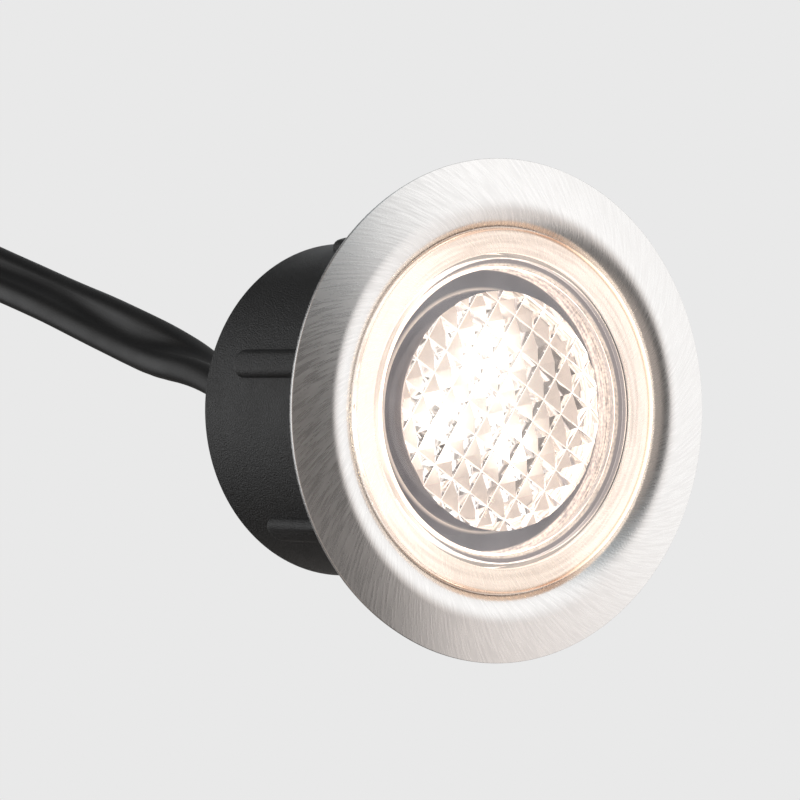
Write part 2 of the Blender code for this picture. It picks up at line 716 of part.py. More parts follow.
def make_plug(where, finishes, helpers):
    """The moulded plug with its pins and seal, pins down."""
    profile = [
        (0.0, 0.0),
        (PLUG_BOOT_RADIUS, 0.0),
        (PLUG_BARREL, -PLUG_BOOT),
        (PLUG_GRIP_RADIUS, -PLUG_BOOT - PLUG_EDGE),
        (PLUG_GRIP_RADIUS, PLUG_EDGE - PLUG_GRIP_END),
        (PLUG_GRIP_RADIUS - PLUG_EDGE, -PLUG_GRIP_END),
        (PLUG_BARREL, -PLUG_GRIP_END),
        (PLUG_BARREL, -PLUG_FLANGE_START),
        (PLUG_FLANGE_RADIUS, -PLUG_FLANGE_START),
        (PLUG_FLANGE_RADIUS, -PLUG_FLANGE_END),
        (PLUG_BARREL, -PLUG_FLANGE_END),
        (PLUG_BARREL, PLUG_EDGE - PLUG_NOSE_END),
        (PLUG_BARREL - PLUG_EDGE, -PLUG_NOSE_END),
        (0.0, -PLUG_NOSE_END),
    ]
    body = turned("plug_body", profile, where, finishes["body"], closed=False, steps=SMALL_ROUND)
    body.location = PLUG_TOP
    pin_root = PIN_HOLE_DEPTH - PLUG_NOSE_END
    for number, side in enumerate((-1, 1), 1):
        place = PLUG_TOP + Vector((side * PIN_SPACING / 2, 0.0, 0.0))
        reach = (-PLUG_NOSE_END - OVERRUN, pin_root)
        hole = cylinder(f"pin_hole_{number}", PIN_RADIUS + GAP, *reach, helpers, None, 16)
        hole.location = place
        boolean(body, "DIFFERENCE", as_cutter(hole))
        reach = (-PLUG_NOSE_END - PIN_REACH, pin_root - GAP)
        pin = cylinder(f"plug_pin_{number}", PIN_RADIUS, *reach, where, finishes["pin"], 16)
        pin.location = place
    seal_radius = PLUG_BARREL + GAP + PLUG_SEAL_CORD / 2
    seal_height = -PLUG_FLANGE_END - GAP - PLUG_SEAL_CORD / 2
    section = ring_section(seal_radius, seal_height, PLUG_SEAL_CORD, 8)
    turned("plug_seal", section, where, finishes["seal"], steps=SMALL_ROUND).location = PLUG_TOP
    return body


def make_nut(where, finish, helpers):
    """The fluted coupling nut, which spins behind the plug's flange."""
    end = -NUT_START - NUT_LENGTH
    lip_bore = PLUG_BARREL + CORD_GAP
    profile = [
        (NUT_RADIUS - NUT_EDGE, -NUT_START),
        (NUT_RADIUS, -NUT_START - NUT_EDGE),
        (NUT_RADIUS, end + NUT_EDGE),
        (NUT_RADIUS - NUT_EDGE, end),
        (NUT_BORE, end),
        (NUT_BORE, -NUT_LIP_END),
        (lip_bore, -NUT_LIP_END),
        (lip_bore, -NUT_START),
    ]
    nut = turned("coupling_nut", profile, where, finish, steps=48)
    nut.location = PLUG_TOP
    flutes = bmesh.new()
    for number in range(FLUTE_COUNT):
        angle = math.tau * number / FLUTE_COUNT
        made = bmesh.ops.create_cone(
            flutes,
            cap_ends=True,
            segments=8,
            radius1=FLUTE_RADIUS,
            radius2=FLUTE_RADIUS,
            depth=NUT_LENGTH + 2 * OVERRUN,
        )["verts"]
        reach = NUT_RADIUS + FLUTE_RADIUS - FLUTE_DEPTH
        place = Vector((reach * math.cos(angle), reach * math.sin(angle), -NUT_START - NUT_LENGTH / 2))
        bmesh.ops.translate(flutes, vec=place, verts=made)
    cutter = as_cutter(add("nut_flutes", from_bmesh("nut_flutes", flutes), helpers))
    cutter.location = PLUG_TOP
    boolean(nut, "DIFFERENCE", cutter)
    return nut


def main():
    clear_scene()
    light = collection("recessed_deck_light")
    helpers = collection("cutters")

    steel = material("brushed stainless", (0.62, 0.61, 0.59), 0.32, metallic=1.0)
    clear = material("clear lens", (0.95, 0.95, 0.95), 0.03, transmission=1.0)
    black = material("black moulding", (0.018, 0.019, 0.021), 0.42)
    rubber = material("black rubber", (0.022, 0.022, 0.023), 0.7)
    sheath = material("cord sheath", (0.014, 0.014, 0.015), 0.38)
    board = material("white board", (0.85, 0.85, 0.82), 0.45)
    package = material("LED package", (0.95, 0.85, 0.6), 0.4)
    chip = material("chip moulding", (0.03, 0.03, 0.032), 0.5)
    cast = material("potting", (0.05, 0.05, 0.055), 0.35)
    red = material("red core", (0.45, 0.03, 0.025), 0.45)
    brass = material("plated pin", (0.8, 0.66, 0.36), 0.25, metallic=1.0)
    tie = material("tie", (0.02, 0.02, 0.02), 0.55)

    make_housing(light, black, helpers)
    make_trim_ring(light, steel)
    make_gasket(light, rubber)
    make_lens(light, clear, helpers)
    make_seal(light, rubber)
    make_board(light, board)
    make_leds(light, package, helpers)
    make_drive(light, chip, helpers)
    make_cores(light, (red, sheath))
    make_potting(light, cast, helpers)
    make_grommet(light, rubber)
    make_cord(light, sheath)
    make_tie(light, tie)
    make_plug(light, {"body": black, "pin": brass, "seal": rubber}, helpers)
    make_nut(light, black, helpers)


main()
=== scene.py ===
"""Looks of the recessed deck light: a brushed ring, a clear lens with a field of pyramids, lit LEDs,
a grained cup and a twin cord.
"""

import math

import bmesh
import bpy
from mathutils import Matrix, Vector


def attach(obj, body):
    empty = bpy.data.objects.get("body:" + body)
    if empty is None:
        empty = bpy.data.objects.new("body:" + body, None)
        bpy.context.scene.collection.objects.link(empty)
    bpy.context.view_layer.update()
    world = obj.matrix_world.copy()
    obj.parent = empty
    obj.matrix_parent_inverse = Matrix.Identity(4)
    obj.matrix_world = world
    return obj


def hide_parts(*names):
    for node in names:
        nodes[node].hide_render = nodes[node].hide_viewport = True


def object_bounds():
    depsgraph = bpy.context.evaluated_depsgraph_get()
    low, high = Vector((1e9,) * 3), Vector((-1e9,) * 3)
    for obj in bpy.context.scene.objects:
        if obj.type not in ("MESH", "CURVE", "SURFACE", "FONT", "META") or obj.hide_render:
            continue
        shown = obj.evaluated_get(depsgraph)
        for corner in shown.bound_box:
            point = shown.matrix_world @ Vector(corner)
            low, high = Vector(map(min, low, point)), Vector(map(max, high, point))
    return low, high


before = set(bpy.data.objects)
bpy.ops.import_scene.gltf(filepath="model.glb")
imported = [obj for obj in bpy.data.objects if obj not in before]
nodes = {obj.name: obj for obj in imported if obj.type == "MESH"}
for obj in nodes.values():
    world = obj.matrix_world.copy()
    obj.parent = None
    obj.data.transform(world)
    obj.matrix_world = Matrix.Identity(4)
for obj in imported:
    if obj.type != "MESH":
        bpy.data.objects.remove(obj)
cad_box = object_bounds()

# Camera, from the photograph's perspective
VIEW_TILT = math.radians(35.58)
VIEW_LIFT = math.radians(0.33)
VIEW_DISTANCE = 0.480
SENSOR = 0.036
MILLIMETRES = 1000
IMAGE_SIDE = 800
FOCAL_PIXELS = 5386
AIM_RIGHT = -0.008796
AIM_UP = 0.000963

# Ring
RING_RADIUS = 0.0225
RING_SHEET = 0.0006
RING_SLOPE = math.radians(16.0)
CREST_RADIUS = 0.0184
CREST_BEND = 0.0024
LEDGE_RADIUS = 0.0140
RING_EDGE = 0.00006

# Lens
LENS_RADIUS = 0.01625
LENS_FRONT = 0.0014
LENS_EDGE = 0.00022
LENS_HOLD = 0.00005
RIM_UNDERSIDE = 0.0007
SKIRT_RADIUS = 0.0135
SKIRT_BORE = 0.01065
SKIRT_END = -0.0044
PYRAMID_PLANE = -0.0003
PYRAMID_PITCH = 0.00225
PYRAMID_HEIGHT = 0.0006
PYRAMID_TURN = math.radians(56.6)
RIDGE_HALF = 0.00005
SEAL_CORD = 0.0010
SEAL_RADIUS = 0.0133
SEAL_MIDDLE = -0.0012
GROOVE_FLOOR = 0.0126
GROOVE_HALF = 0.0006
THREAD_TOP = -0.0019
THREAD_END = -0.0042
THREAD_PITCH = 0.0010
THREAD_HEIGHT = 0.0004
THREAD_ROW = 0.00005

# Cup and what it holds
CUP_RADIUS = 0.0154
CUP_TOP = -0.0001
CUP_BACK = -0.0248
CUP_BORE = 0.0141
CUP_SHELF = -0.0057
CUP_INNER = 0.0127
CUP_FLOOR = -0.0232
CUP_HOLE = 0.0036
BACK_ROUND = 0.0004
LEAD_IN = 0.0004
RIB_COUNT = 6
RIB_WIDTH = 0.0026
RIB_HEIGHT = 0.0008
RIB_TOP = -0.0008
RIB_END = -0.0199
RIB_EDGE = 0.00075
RIB_PHASE = math.radians(254.1)
BOARD_TOP = -0.0047
BOARD_UNDERSIDE = -0.0056
BOARD_RADIUS = 0.0137
LED_CIRCLE = 0.0050
LED_LENGTH = 0.0035
LED_WIDTH = 0.0028
LED_HEIGHT = 0.00075
LED_CUP_RADIUS = 0.00115
LED_CUP_DEPTH = 0.00025
LED_PHASE = math.radians(78.0)
LED_COUNT = 3
LED_EDGE = 0.00012
SEAT_GAP = 0.00005

# Gasket and grommet
GASKET_OUTER = 0.0212
GASKET_LEAN = math.radians(42.0)
GASKET_CLEARANCE = 0.00015
NECK_RADIUS = 0.0035
FLANGE_RADIUS = 0.0050
FLANGE_THICKNESS = 0.0010
NOSE_ROOT = 0.0044
NOSE_TIP = 0.0034
NOSE_LENGTH = 0.0064
NOSE_GROOVES = 4
NOSE_GROOVE = 0.00035
FIT_GAP = 0.0001

# Cord: two round cores side by side in one sheath, its route in metres from the tip of the grommet
CORD_WIDTH = 0.0056
LOBE_RADIUS = 0.0014
CORD_START = Vector((0.0, 0.0, -0.0322))
CORD_ROUTE = (
    (0.0, 0.0, 0.0),
    (0.0, 0.0, -0.0040),
    (-0.0010, 0.0, -0.0086),
    (-0.0038, 0.0, -0.0174),
    (-0.0058, 0.0, -0.0250),
    (-0.0086, 0.0, -0.0357),
    (-0.0107, 0.0, -0.0440),
    (-0.0130, 0.0, -0.0534),
    (-0.0156, 0.0, -0.0647),
    (-0.0178, 0.0, -0.0767),
    (-0.0192, 0.0, -0.0892),
    (-0.0195, 0.0, -0.0977),
    (-0.0195, 0.0, -0.1020),
)
ROUTE_STEPS = 8
COIL_RADIUS = 0.0380
COIL_TURNS = 4
COIL_STEP = 0.0062
COIL_LAYER = 0.0061
COIL_TUCK = 0.0010
COIL_POINTS = 64
COIL_TAIL = 0.0260
TAIL_POINTS = 8
CORD_GAP = 0.0003
TWIST_HEIGHTS = (-0.0350, -0.0445, -0.0615, -0.0780, -0.1050, -0.1345)
TWIST_ANGLES = (78.0, 75.0, 10.0, 32.0, 20.0, 0.0)
COIL_TWIST = math.radians(38.0)
COIL_TWIST_WAVE = math.radians(9.0)
LOBE_REACH = math.radians(130.0)
LOBE_STEPS = 14

# Finish: grain, brush strokes, soft borders between places of painted light, painted shade by the lens,
# painted glow by the LEDs, depths of bumps
WIDE_GRAIN_SHARE = 0.035
STROKE_SLANT = math.radians(35.0)
STROKE_WIDTH = 0.00019
STROKE_LENGTH = 0.0026
STROKE_DEPTH = 0.000009
SEAM_BLEND = 0.004
GRIT_REACH = 0.0014
CORNER_FAR = 0.00026
CORNER_NEAR = 0.00006
FADE = 0.0001
# Painted light: middle and reach of the painted glow on the lens's pyramids and on the board, and the
# board's painted brighter side
BRIGHTEST = (-0.0023, -0.0021, 0.0)
PAINTED_LENS_GLOW_REACH = SKIRT_BORE * 0.8
PAINTED_LENS_GLOW_CORE = 0.001
PAINTED_BOARD_GLOW_REACH = 0.0050
PAINTED_BOARD_GLOW_CORE = 0.0010
DIM_SIDE = 0.0075
BRIGHT_SIDE = -0.0005
SCRATCH_DEPTH = 0.000003
PILE_DEPTH = 0.00012
UNLIT = (0.0, 0.0, 0.0)
FLOOR_COLOUR = (0.8148, 0.8148, 0.8148)
FLOOR_DROP = 0.001

# Scales of textures, in cells per metre
GRIT_SCALE = 5200.0
CLOUD_SCALE = 700.0
SPARK_SCALE = 3600.0
SMEAR_SCALE = 260.0
PHOSPHOR_SCALE = 5000.0
SCRATCH_SCALE = 6000.0
LOOP_SCALE = 2600.0
TUFT_SCALE = 900.0

# Studio lights: where each lies, the products with that direction where it starts and is full, its colour
AMBIENT = (0.175, 0.165, 0.158)
SIDE_LAMPS = (
    ((-0.18, 0.98, 0.0), 0.10, 0.42, (0.78, 0.71, 0.67)),
    ((-0.67, 0.74, 0.0), 0.05, 0.62, (0.49, 0.56, 0.595)),
    ((-0.18, 0.98, 0.0), -0.10, -0.5, (0.33, 0.275, 0.24)),
)
SPOT_LAMPS = (
    ((0.72, 0.58, 0.38), 0.80, 0.99, (0.16, 0.157, 0.155)),
    ((-0.04, -0.61, -0.79), 0.76, 0.98, (1.75, 1.77, 1.79)),
    ((-0.2, 0.53, -0.81), 0.955, 0.995, (0.8, 0.83, 0.85)),
    ((0.35, 0.45, -0.81), 0.85, 0.98, (0.22, 0.21, 0.20)),
)

FLOAT, VECTOR, COLOUR = "NodeSocketFloat", "NodeSocketVector", "NodeSocketColor"
ROUND = 256
SMALL_ROUND = 96
BOWL_ROUND = 48
MERGE = 1e-6

image_right = Vector((0.0, math.cos(VIEW_TILT), math.sin(VIEW_TILT)))
level_back = Vector((0.0, -math.sin(VIEW_TILT), math.cos(VIEW_TILT)))
view_back = Matrix.Rotation(-VIEW_LIFT, 3, image_right) @ level_back
image_up = view_back.cross(image_right)


# Camera and backdrop
def make_camera():
    """The photograph's camera: it stands off the ring's middle and aims a little left of it."""
    camera = bpy.data.objects.new("photo_camera", bpy.data.cameras.new("photo_camera"))
    bpy.context.scene.collection.objects.link(camera)
    camera.data.sensor_width = SENSOR * MILLIMETRES
    camera.data.lens = FOCAL_PIXELS / IMAGE_SIDE * SENSOR * MILLIMETRES
    stand = view_back * VIEW_DISTANCE
    aim = image_right * AIM_RIGHT + image_up * AIM_UP
    back = (stand - aim).normalized()
    right = image_up.cross(back).normalized()
    up = back.cross(right)
    camera.matrix_world = Matrix.Translation(stand) @ Matrix((right, up, back)).transposed().to_4x4()
    camera.data.clip_start = VIEW_DISTANCE / 50
    camera.data.clip_end = VIEW_DISTANCE * 20
    bpy.context.scene.camera = camera


# Node helpers. Those that get a socket work in the tree it belongs to.
def give(socket, value):
    """A socket's value, or a link to it."""
    if isinstance(value, bpy.types.NodeSocket):
        socket.id_data.links.new(value, socket)
    else:
        socket.default_value = value


def node(tree, kind, inputs=None, **settings):
    """A node with its settings, and its sockets given values or links."""
    made = tree.nodes.new(kind)
    for name, value in settings.items():
        setattr(made, name, value)
    for socket, value in (inputs or {}).items():
        give(made.inputs[socket], value)
    return made


def tree_of(values):
    """The tree of the first socket among some values."""
    return next(value.id_data for value in values if isinstance(value, bpy.types.NodeSocket))


def math_node(operation, *values):
    """The output of a Math node for one to three values."""
    inputs = dict(enumerate(values))
    return node(tree_of(values), "ShaderNodeMath", inputs, operation=operation).outputs[0]


def times(total, *others):
    """A value multiplied by others, one after another."""
    for other in others:
        total = math_node("MULTIPLY", total, other)
    return total


def plus(total, *others):
    """A value with others added, one after another."""
    for other in others:
        total = math_node("ADD", total, other)
    return total


def vector_math(operation, inputs):
    """The output of a Vector Math node: a value where it measures, and else a vector."""
    output = "Value" if operation in ("LENGTH", "DISTANCE", "DOT_PRODUCT") else "Vector"
    tree = tree_of(inputs.values())
    return node(tree, "ShaderNodeVectorMath", inputs, operation=operation).outputs[output]


def ranged(value, low, high, to_low=0.0, to_high=1.0):
    """A value taken smoothly from one range to another."""
    inputs = {"Value": value, "From Min": low, "From Max": high, "To Min": to_low, "To Max": to_high}
    made = node(value.id_data, "ShaderNodeMapRange", inputs, interpolation_type="SMOOTHSTEP")
    return made.outputs["Result"]


def noise(place, scale, detail, roughness=0.5):
    """The value of a noise texture, with its scale in cells per metre."""
    inputs = {"Vector": place, "Scale": scale, "Detail": detail, "Roughness": roughness}
    return node(place.id_data, "ShaderNodeTexNoise", inputs).outputs["Fac"]


def shade(colour):
    """A colour with its alpha. A socket stays as it is."""
    return colour if isinstance(colour, bpy.types.NodeSocket) else (*colour, 1.0)


def mixed(share, first, second):
    """Two colours mixed by a share."""
    inputs = {0: share, 6: shade(first), 7: shade(second)}
    return node(share.id_data, "ShaderNodeMix", inputs, data_type="RGBA").outputs[2]


def around_axis(place):
    """A place split into its parts, the same place flattened, and its distance from the axis."""
    split = node(place.id_data, "ShaderNodeSeparateXYZ", {0: place}).outputs
    flat = node(place.id_data, "ShaderNodeCombineXYZ", {0: split[0], 1: split[1]}).outputs[0]
    return split, flat, vector_math("LENGTH", {0: flat})


# Shader groups
def new_group(name, inputs, outputs):
    """A shader group with its named sockets, and its input and output nodes."""
    tree = bpy.data.node_groups.new(name, "ShaderNodeTree")
    for label, kind in inputs.items():
        tree.interface.new_socket(label, in_out="INPUT", socket_type=kind)
    for label, kind in outputs.items():
        tree.interface.new_socket(label, in_out="OUTPUT", socket_type=kind)
    return tree, tree.nodes.new("NodeGroupInput").outputs, tree.nodes.new("NodeGroupOutput")


def grouped(group, place, **values):
    """The outputs of a group placed in a material with its own values."""
    inputs = {name.replace("_", " ").title(): value for name, value in values.items()}
    return node(place.id_data, "ShaderNodeGroup", {"Place": place, **inputs}, node_tree=group).outputs


def make_grain_group():
    """Fine moulded grain: a height for the bump, a roughness and a colour that vary over the surface."""
    tree, given, out = new_group(
        "moulded grain",
        {"Place": VECTOR, "Grain Scale": FLOAT, "Roughness": FLOAT, "Dark": COLOUR, "Light": COLOUR},
        {"Height": FLOAT, "Roughness": FLOAT, "Colour": COLOUR},
    )
    fine = noise(given["Place"], given["Grain Scale"], 3.0, 0.6)
    wide = noise(given["Place"], times(given["Grain Scale"], WIDE_GRAIN_SHARE), 3.0)
    speck = ranged(fine, 0.44, 0.66)
    cloud = ranged(wide, 0.35, 0.7)
    share = math_node("MULTIPLY_ADD", speck, 0.75, times(cloud, 0.25))
    rough = math_node("MULTIPLY_ADD", cloud, 0.07, given["Roughness"])
    tree.links.new(fine, out.inputs["Height"])
    tree.links.new(rough, out.inputs["Roughness"])
    tree.links.new(mixed(share, given["Dark"], given["Light"]), out.inputs["Colour"])
    return tree


def make_stroke_group():
    """Short brush strokes that cross the ring at a slant: a value from 0 to 1."""
    tree, given, out = new_group(
        "brush strokes",
        {"Place": VECTOR, "Slant": FLOAT, "Stroke Width": FLOAT, "Stroke Length": FLOAT},
        {"Strokes": FLOAT},
    )
    split = node(tree, "ShaderNodeSeparateXYZ", {0: given["Place"]}).outputs
    squares = [times(part, part) for part in (split[0], split[1])]
    radius = math_node("SQRT", plus(*squares))
    lean_cos = math_node("COSINE", given["Slant"])
    lean_sin = math_node("SINE", given["Slant"])
    found = []
    for side in (1.0, -1.0):
        across = times(split[0], side)
        along = times(split[1], side)
        arc = times(math_node("ARCTAN2", along, across), CREST_RADIUS)
        line = plus(times(radius, lean_cos), times(arc, lean_sin))
        cross = math_node("SUBTRACT", times(arc, lean_cos), times(radius, lean_sin))
        stretched = {
            0: math_node("DIVIDE", line, given["Stroke Length"]),
            1: math_node("DIVIDE", cross, given["Stroke Width"]),
            2: side,
        }
        vector = node(tree, "ShaderNodeCombineXYZ", stretched).outputs[0]
        found.append(noise(vector, 1.0, 3.0, 0.55))
    share = ranged(split[0], -SEAM_BLEND, SEAM_BLEND)
    blend = node(tree, "ShaderNodeMix", {0: share, 2: found[1], 3: found[0]}, data_type="FLOAT")
    tree.links.new(blend.outputs[0], out.inputs["Strokes"])
    return tree


def make_ring_group():
    """Soft streaks that run round the axis: a value from 0 to 1."""
    tree, given, out = new_group(
        "streaks round the axis",
        {"Place": VECTOR, "Across": FLOAT, "Along": FLOAT},
        {"Rings": FLOAT},
    )
    split, _, radius = around_axis(given["Place"])
    stretched = {
        0: times(plus(radius, split[2]), given["Across"]),
        1: times(split[0], given["Along"]),
        2: times(split[1], given["Along"]),
    }
    vector = node(tree, "ShaderNodeCombineXYZ", stretched).outputs[0]
    tree.links.new(noise(vector, 1.0, 3.0), out.inputs["Rings"])
    return tree


# Finishes
def new_material(name):
    """A material with its shader and its Object coordinates."""
    made = bpy.data.materials.new(name)
    made.use_nodes = True
    tree = made.node_tree
    place = tree.nodes.new("ShaderNodeTexCoord").outputs["Object"]
    return made, tree.nodes["Principled BSDF"], place


def set_shader(shader, **values):
    """Values and links on the shader's own sockets."""
    for name, value in values.items():
        give(shader.inputs[name.replace("_", " ").title().replace("Ior", "IOR")], value)


def bumped(height, depth):
    """A normal from a bump of a real depth."""
    return node(height.id_data, "ShaderNodeBump", {"Height": height, "Distance": depth}).outputs["Normal"]


def moulded(name, dark, light, roughness, scale, depth, **values):
    """A moulded plastic or rubber with fine grain."""
    made, shader, place = new_material(name)
    tones = {"dark": shade(dark), "light": shade(light)}
    grain = grouped(grain_group, place, grain_scale=scale, roughness=roughness, **tones)
    normal = bumped(grain["Height"], depth)
    looks = {"Base_Color": grain["Colour"], "Roughness": grain["Roughness"], "Normal": normal}
    set_shader(shader, **looks, **values)
    return made


def make_steel():
    """Brushed stainless: strokes in roughness, tone and bump, painted warm shade in the corner by the lens,
    and a painted warm glow on the ledge by the lens.
    """
    made, shader, place = new_material("brushed stainless")
    sizes = {"slant": STROKE_SLANT, "stroke_width": STROKE_WIDTH, "stroke_length": STROKE_LENGTH}
    strokes = grouped(stroke_group, place, **sizes)["Strokes"]
    split, _, radius = around_axis(place)
    across = math_node("DIVIDE", split[1], radius)
    upright = math_node("DIVIDE", split[0], radius)
    grains = ranged(radius, CREST_RADIUS, CREST_RADIUS - GRIT_REACH, 0.4, 1.5)
    height = math_node("MULTIPLY_ADD", noise(place, GRIT_SCALE, 2.0), grains, strokes)
    # Painted light: the ledge under the lens gets a warm colour and a warm glow in its emission, standing
    # in for the LEDs' light
    inside = ranged(radius, LENS_RADIUS - 2 * FADE, LENS_RADIUS - 4 * FADE)
    # Painted shade: the steel turns darker and warm in the corner next to the lens, weaker on the -Y side
    corner = ranged(radius, LENS_RADIUS + CORNER_FAR, LENS_RADIUS + CORNER_NEAR)
    corner = times(corner, ranged(across, -0.95, -0.4, 0.2, 1.0))
    bare = mixed(ranged(strokes, 0.3, 0.7), (0.675, 0.667, 0.663), (0.715, 0.708, 0.703))
    bare = mixed(corner, bare, (0.61, 0.50, 0.42))
    # The painted glow on the ledge is strongest towards the sides and towards -X, and varies with streaks
    # round the axis
    painted_ledge_light = plus(
        ranged(math_node("ABSOLUTE", across), 0.1, 0.95, 0.42, 0.95),
        ranged(across, 0.3, 0.95, 0.0, 0.05),
        ranged(upright, -0.1, -0.95, 0.0, 0.30),
        ranged(across, -0.3, -0.95, 0.0, 0.35),
    )
    outer = ranged(radius, LEDGE_RADIUS + 8 * FADE, LENS_RADIUS - 4 * FADE, 0.0, 0.38)
    painted_ledge_light = math_node("MULTIPLY_ADD", outer, ranged(across, 0.3, 0.95), painted_ledge_light)
    rings = grouped(ring_group, place, across=2600.0, along=160.0)["Rings"]
    share = times(inside, painted_ledge_light, ranged(rings, 0.3, 0.7, 0.55, 1.15))
    set_shader(
        shader,
        Base_Color=mixed(inside, bare, (0.62, 0.52, 0.45)),
        Roughness=ranged(strokes, 0.34, 0.66, 0.34, 0.24),
        Normal=bumped(height, STROKE_DEPTH),
        Emission_Color=mixed(share, UNLIT, (0.56, 0.512, 0.485)),
        Metallic=1.0,
        Emission_Strength=1.0,
    )
    return made


def make_glass():
    """Clear acrylic with the LEDs' light painted into its rim, its thread, its bore and its pyramids, and a
    painted grey line for the seal.
    """
    made, shader, place = new_material("clear acrylic")
    split, flat, radius = around_axis(place)
    height = split[2]
    across = math_node("DIVIDE", split[1], radius)
    aside = math_node("ABSOLUTE", across)
    cloud = noise(place, CLOUD_SCALE, 3.0)
    within = node(made.node_tree, "ShaderNodeNewGeometry").outputs["Backfacing"]
    normal = node(made.node_tree, "ShaderNodeTexCoord").outputs["Normal"]
    facing = node(made.node_tree, "ShaderNodeSeparateXYZ", {0: normal}).outputs

    # Where each part of the moulding lies
    groove_top = SEAL_MIDDLE + GROOVE_HALF
    hollow = ranged(radius, SKIRT_BORE + 3 * FADE, SKIRT_BORE + FADE)
    over_plane = ranged(height, PYRAMID_PLANE - 3 * FADE, PYRAMID_PLANE - FADE)
    under_plane = ranged(height, PYRAMID_PLANE - FADE, PYRAMID_PLANE - 3 * FADE)
    under_front = ranged(height, LENS_FRONT - 2 * FADE, LENS_FRONT - 4 * FADE)
    pits = times(hollow, over_plane, under_front)
    bore = times(hollow, under_plane, math_node("SUBTRACT", 1.0, within))
    outside = ranged(radius, GROOVE_FLOOR - 3 * FADE, GROOVE_FLOOR - FADE)
    thread = times(outside, ranged(height, THREAD_TOP + FADE, THREAD_TOP - FADE))
    groove = times(outside, ranged(height, groove_top + FADE, groove_top))
    edge = ranged(radius, LENS_RADIUS - LENS_EDGE, LENS_RADIUS - FADE)
    over_gap = ranged(radius, LEDGE_RADIUS + FADE, LEDGE_RADIUS)
    under_rim = ranged(height, RIM_UNDERSIDE + 2 * FADE, RIM_UNDERSIDE + FADE)
    gap = times(outside, over_gap, under_rim)
    # Painted grey line: the seal seen through the rim is painted on the groove's ceiling, except on the -Y
    # side
    pressed = ranged(radius, GROOVE_FLOOR + 4 * FADE, GROOVE_FLOOR + 5.5 * FADE)
    pressed = times(groove, pressed, ranged(across, -0.9, -0.5))

    # Painted light on the thread, the groove, the place under the rim and the bore, with the painted grey
    # line of the seal
    rings = grouped(ring_group, place, across=6800.0, along=480.0)["Rings"]
    grains = ranged(noise(place, SPARK_SCALE, 2.0), 0.40, 0.60)
    ridges = ranged(rings, 0.36, 0.62)
    lively = math_node("MULTIPLY_ADD", grains, 0.35, times(ridges, 0.65))
    painted_thread_light = mixed(lively, (0.36, 0.27, 0.23), (1.12, 0.90, 0.74))
    level = times(gap, ranged(aside, 0.5, 0.9, 1.0, 0.2))
    glow = mixed(level, UNLIT, (0.40, 0.34, 0.30))
    glow = mixed(times(groove, 0.7), glow, painted_thread_light)
    glow = mixed(pressed, glow, (0.24, 0.205, 0.205))
    glow = mixed(thread, glow, painted_thread_light)
    glow = mixed(bore, glow, (0.34, 0.30, 0.285))

    # Painted light on the pyramids: facets that lean one way are lit and the others dark, flat ridges
    # bright, and a painted glow round the place where the LEDs are brightest
    painted_pit_light = mixed(ranged(cloud, 0.35, 0.65), (0.08, 0.068, 0.064), (0.20, 0.172, 0.164))
    lit = mixed(ranged(facing[1], 0.05, 0.2), (0.02, 0.018, 0.018), painted_pit_light)
    lit = mixed(ranged(facing[2], 0.94, 0.98), lit, (0.68, 0.62, 0.58))
    brightest = vector_math("DISTANCE", {0: flat, 1: BRIGHTEST})
    painted_lens_glow = ranged(brightest, PAINTED_LENS_GLOW_REACH, PAINTED_LENS_GLOW_CORE, 0.0, 0.42)
    lit = mixed(painted_lens_glow, lit, (0.95, 0.88, 0.80))
    glow = mixed(times(pits, within), glow, lit)

    # Painted light in the rounded rim, brighter on the +Y side, and a painted warm tint on its edge,
    # strongest towards +X and -X
    rim = mixed(ranged(across, 0.3, 0.7), (0.16, 0.085, 0.05), (0.74, 0.64, 0.53))
    rim = mixed(ranged(across, -0.2, -0.6), rim, (0.24, 0.20, 0.17))
    # The painted grey line of the seal also darkens the glass's colour
    clear = mixed(pressed, (1.0, 0.99, 0.97), (0.24, 0.22, 0.22))
    painted_edge_tint = mixed(ranged(aside, 0.2, 0.6), (0.78, 0.59, 0.46), (0.96, 0.92, 0.88))
    smooth = ranged(cloud, 0.3, 0.7, 0.0, 0.015)
    set_shader(
        shader,
        Base_Color=mixed(edge, clear, painted_edge_tint),
        Roughness=math_node("MULTIPLY_ADD", pits, 0.03, smooth),
        Emission_Color=mixed(edge, glow, rim),
        Transmission_Weight=1.0,
        IOR=1.49,
        Emission_Strength=1.0,
    )
    return made


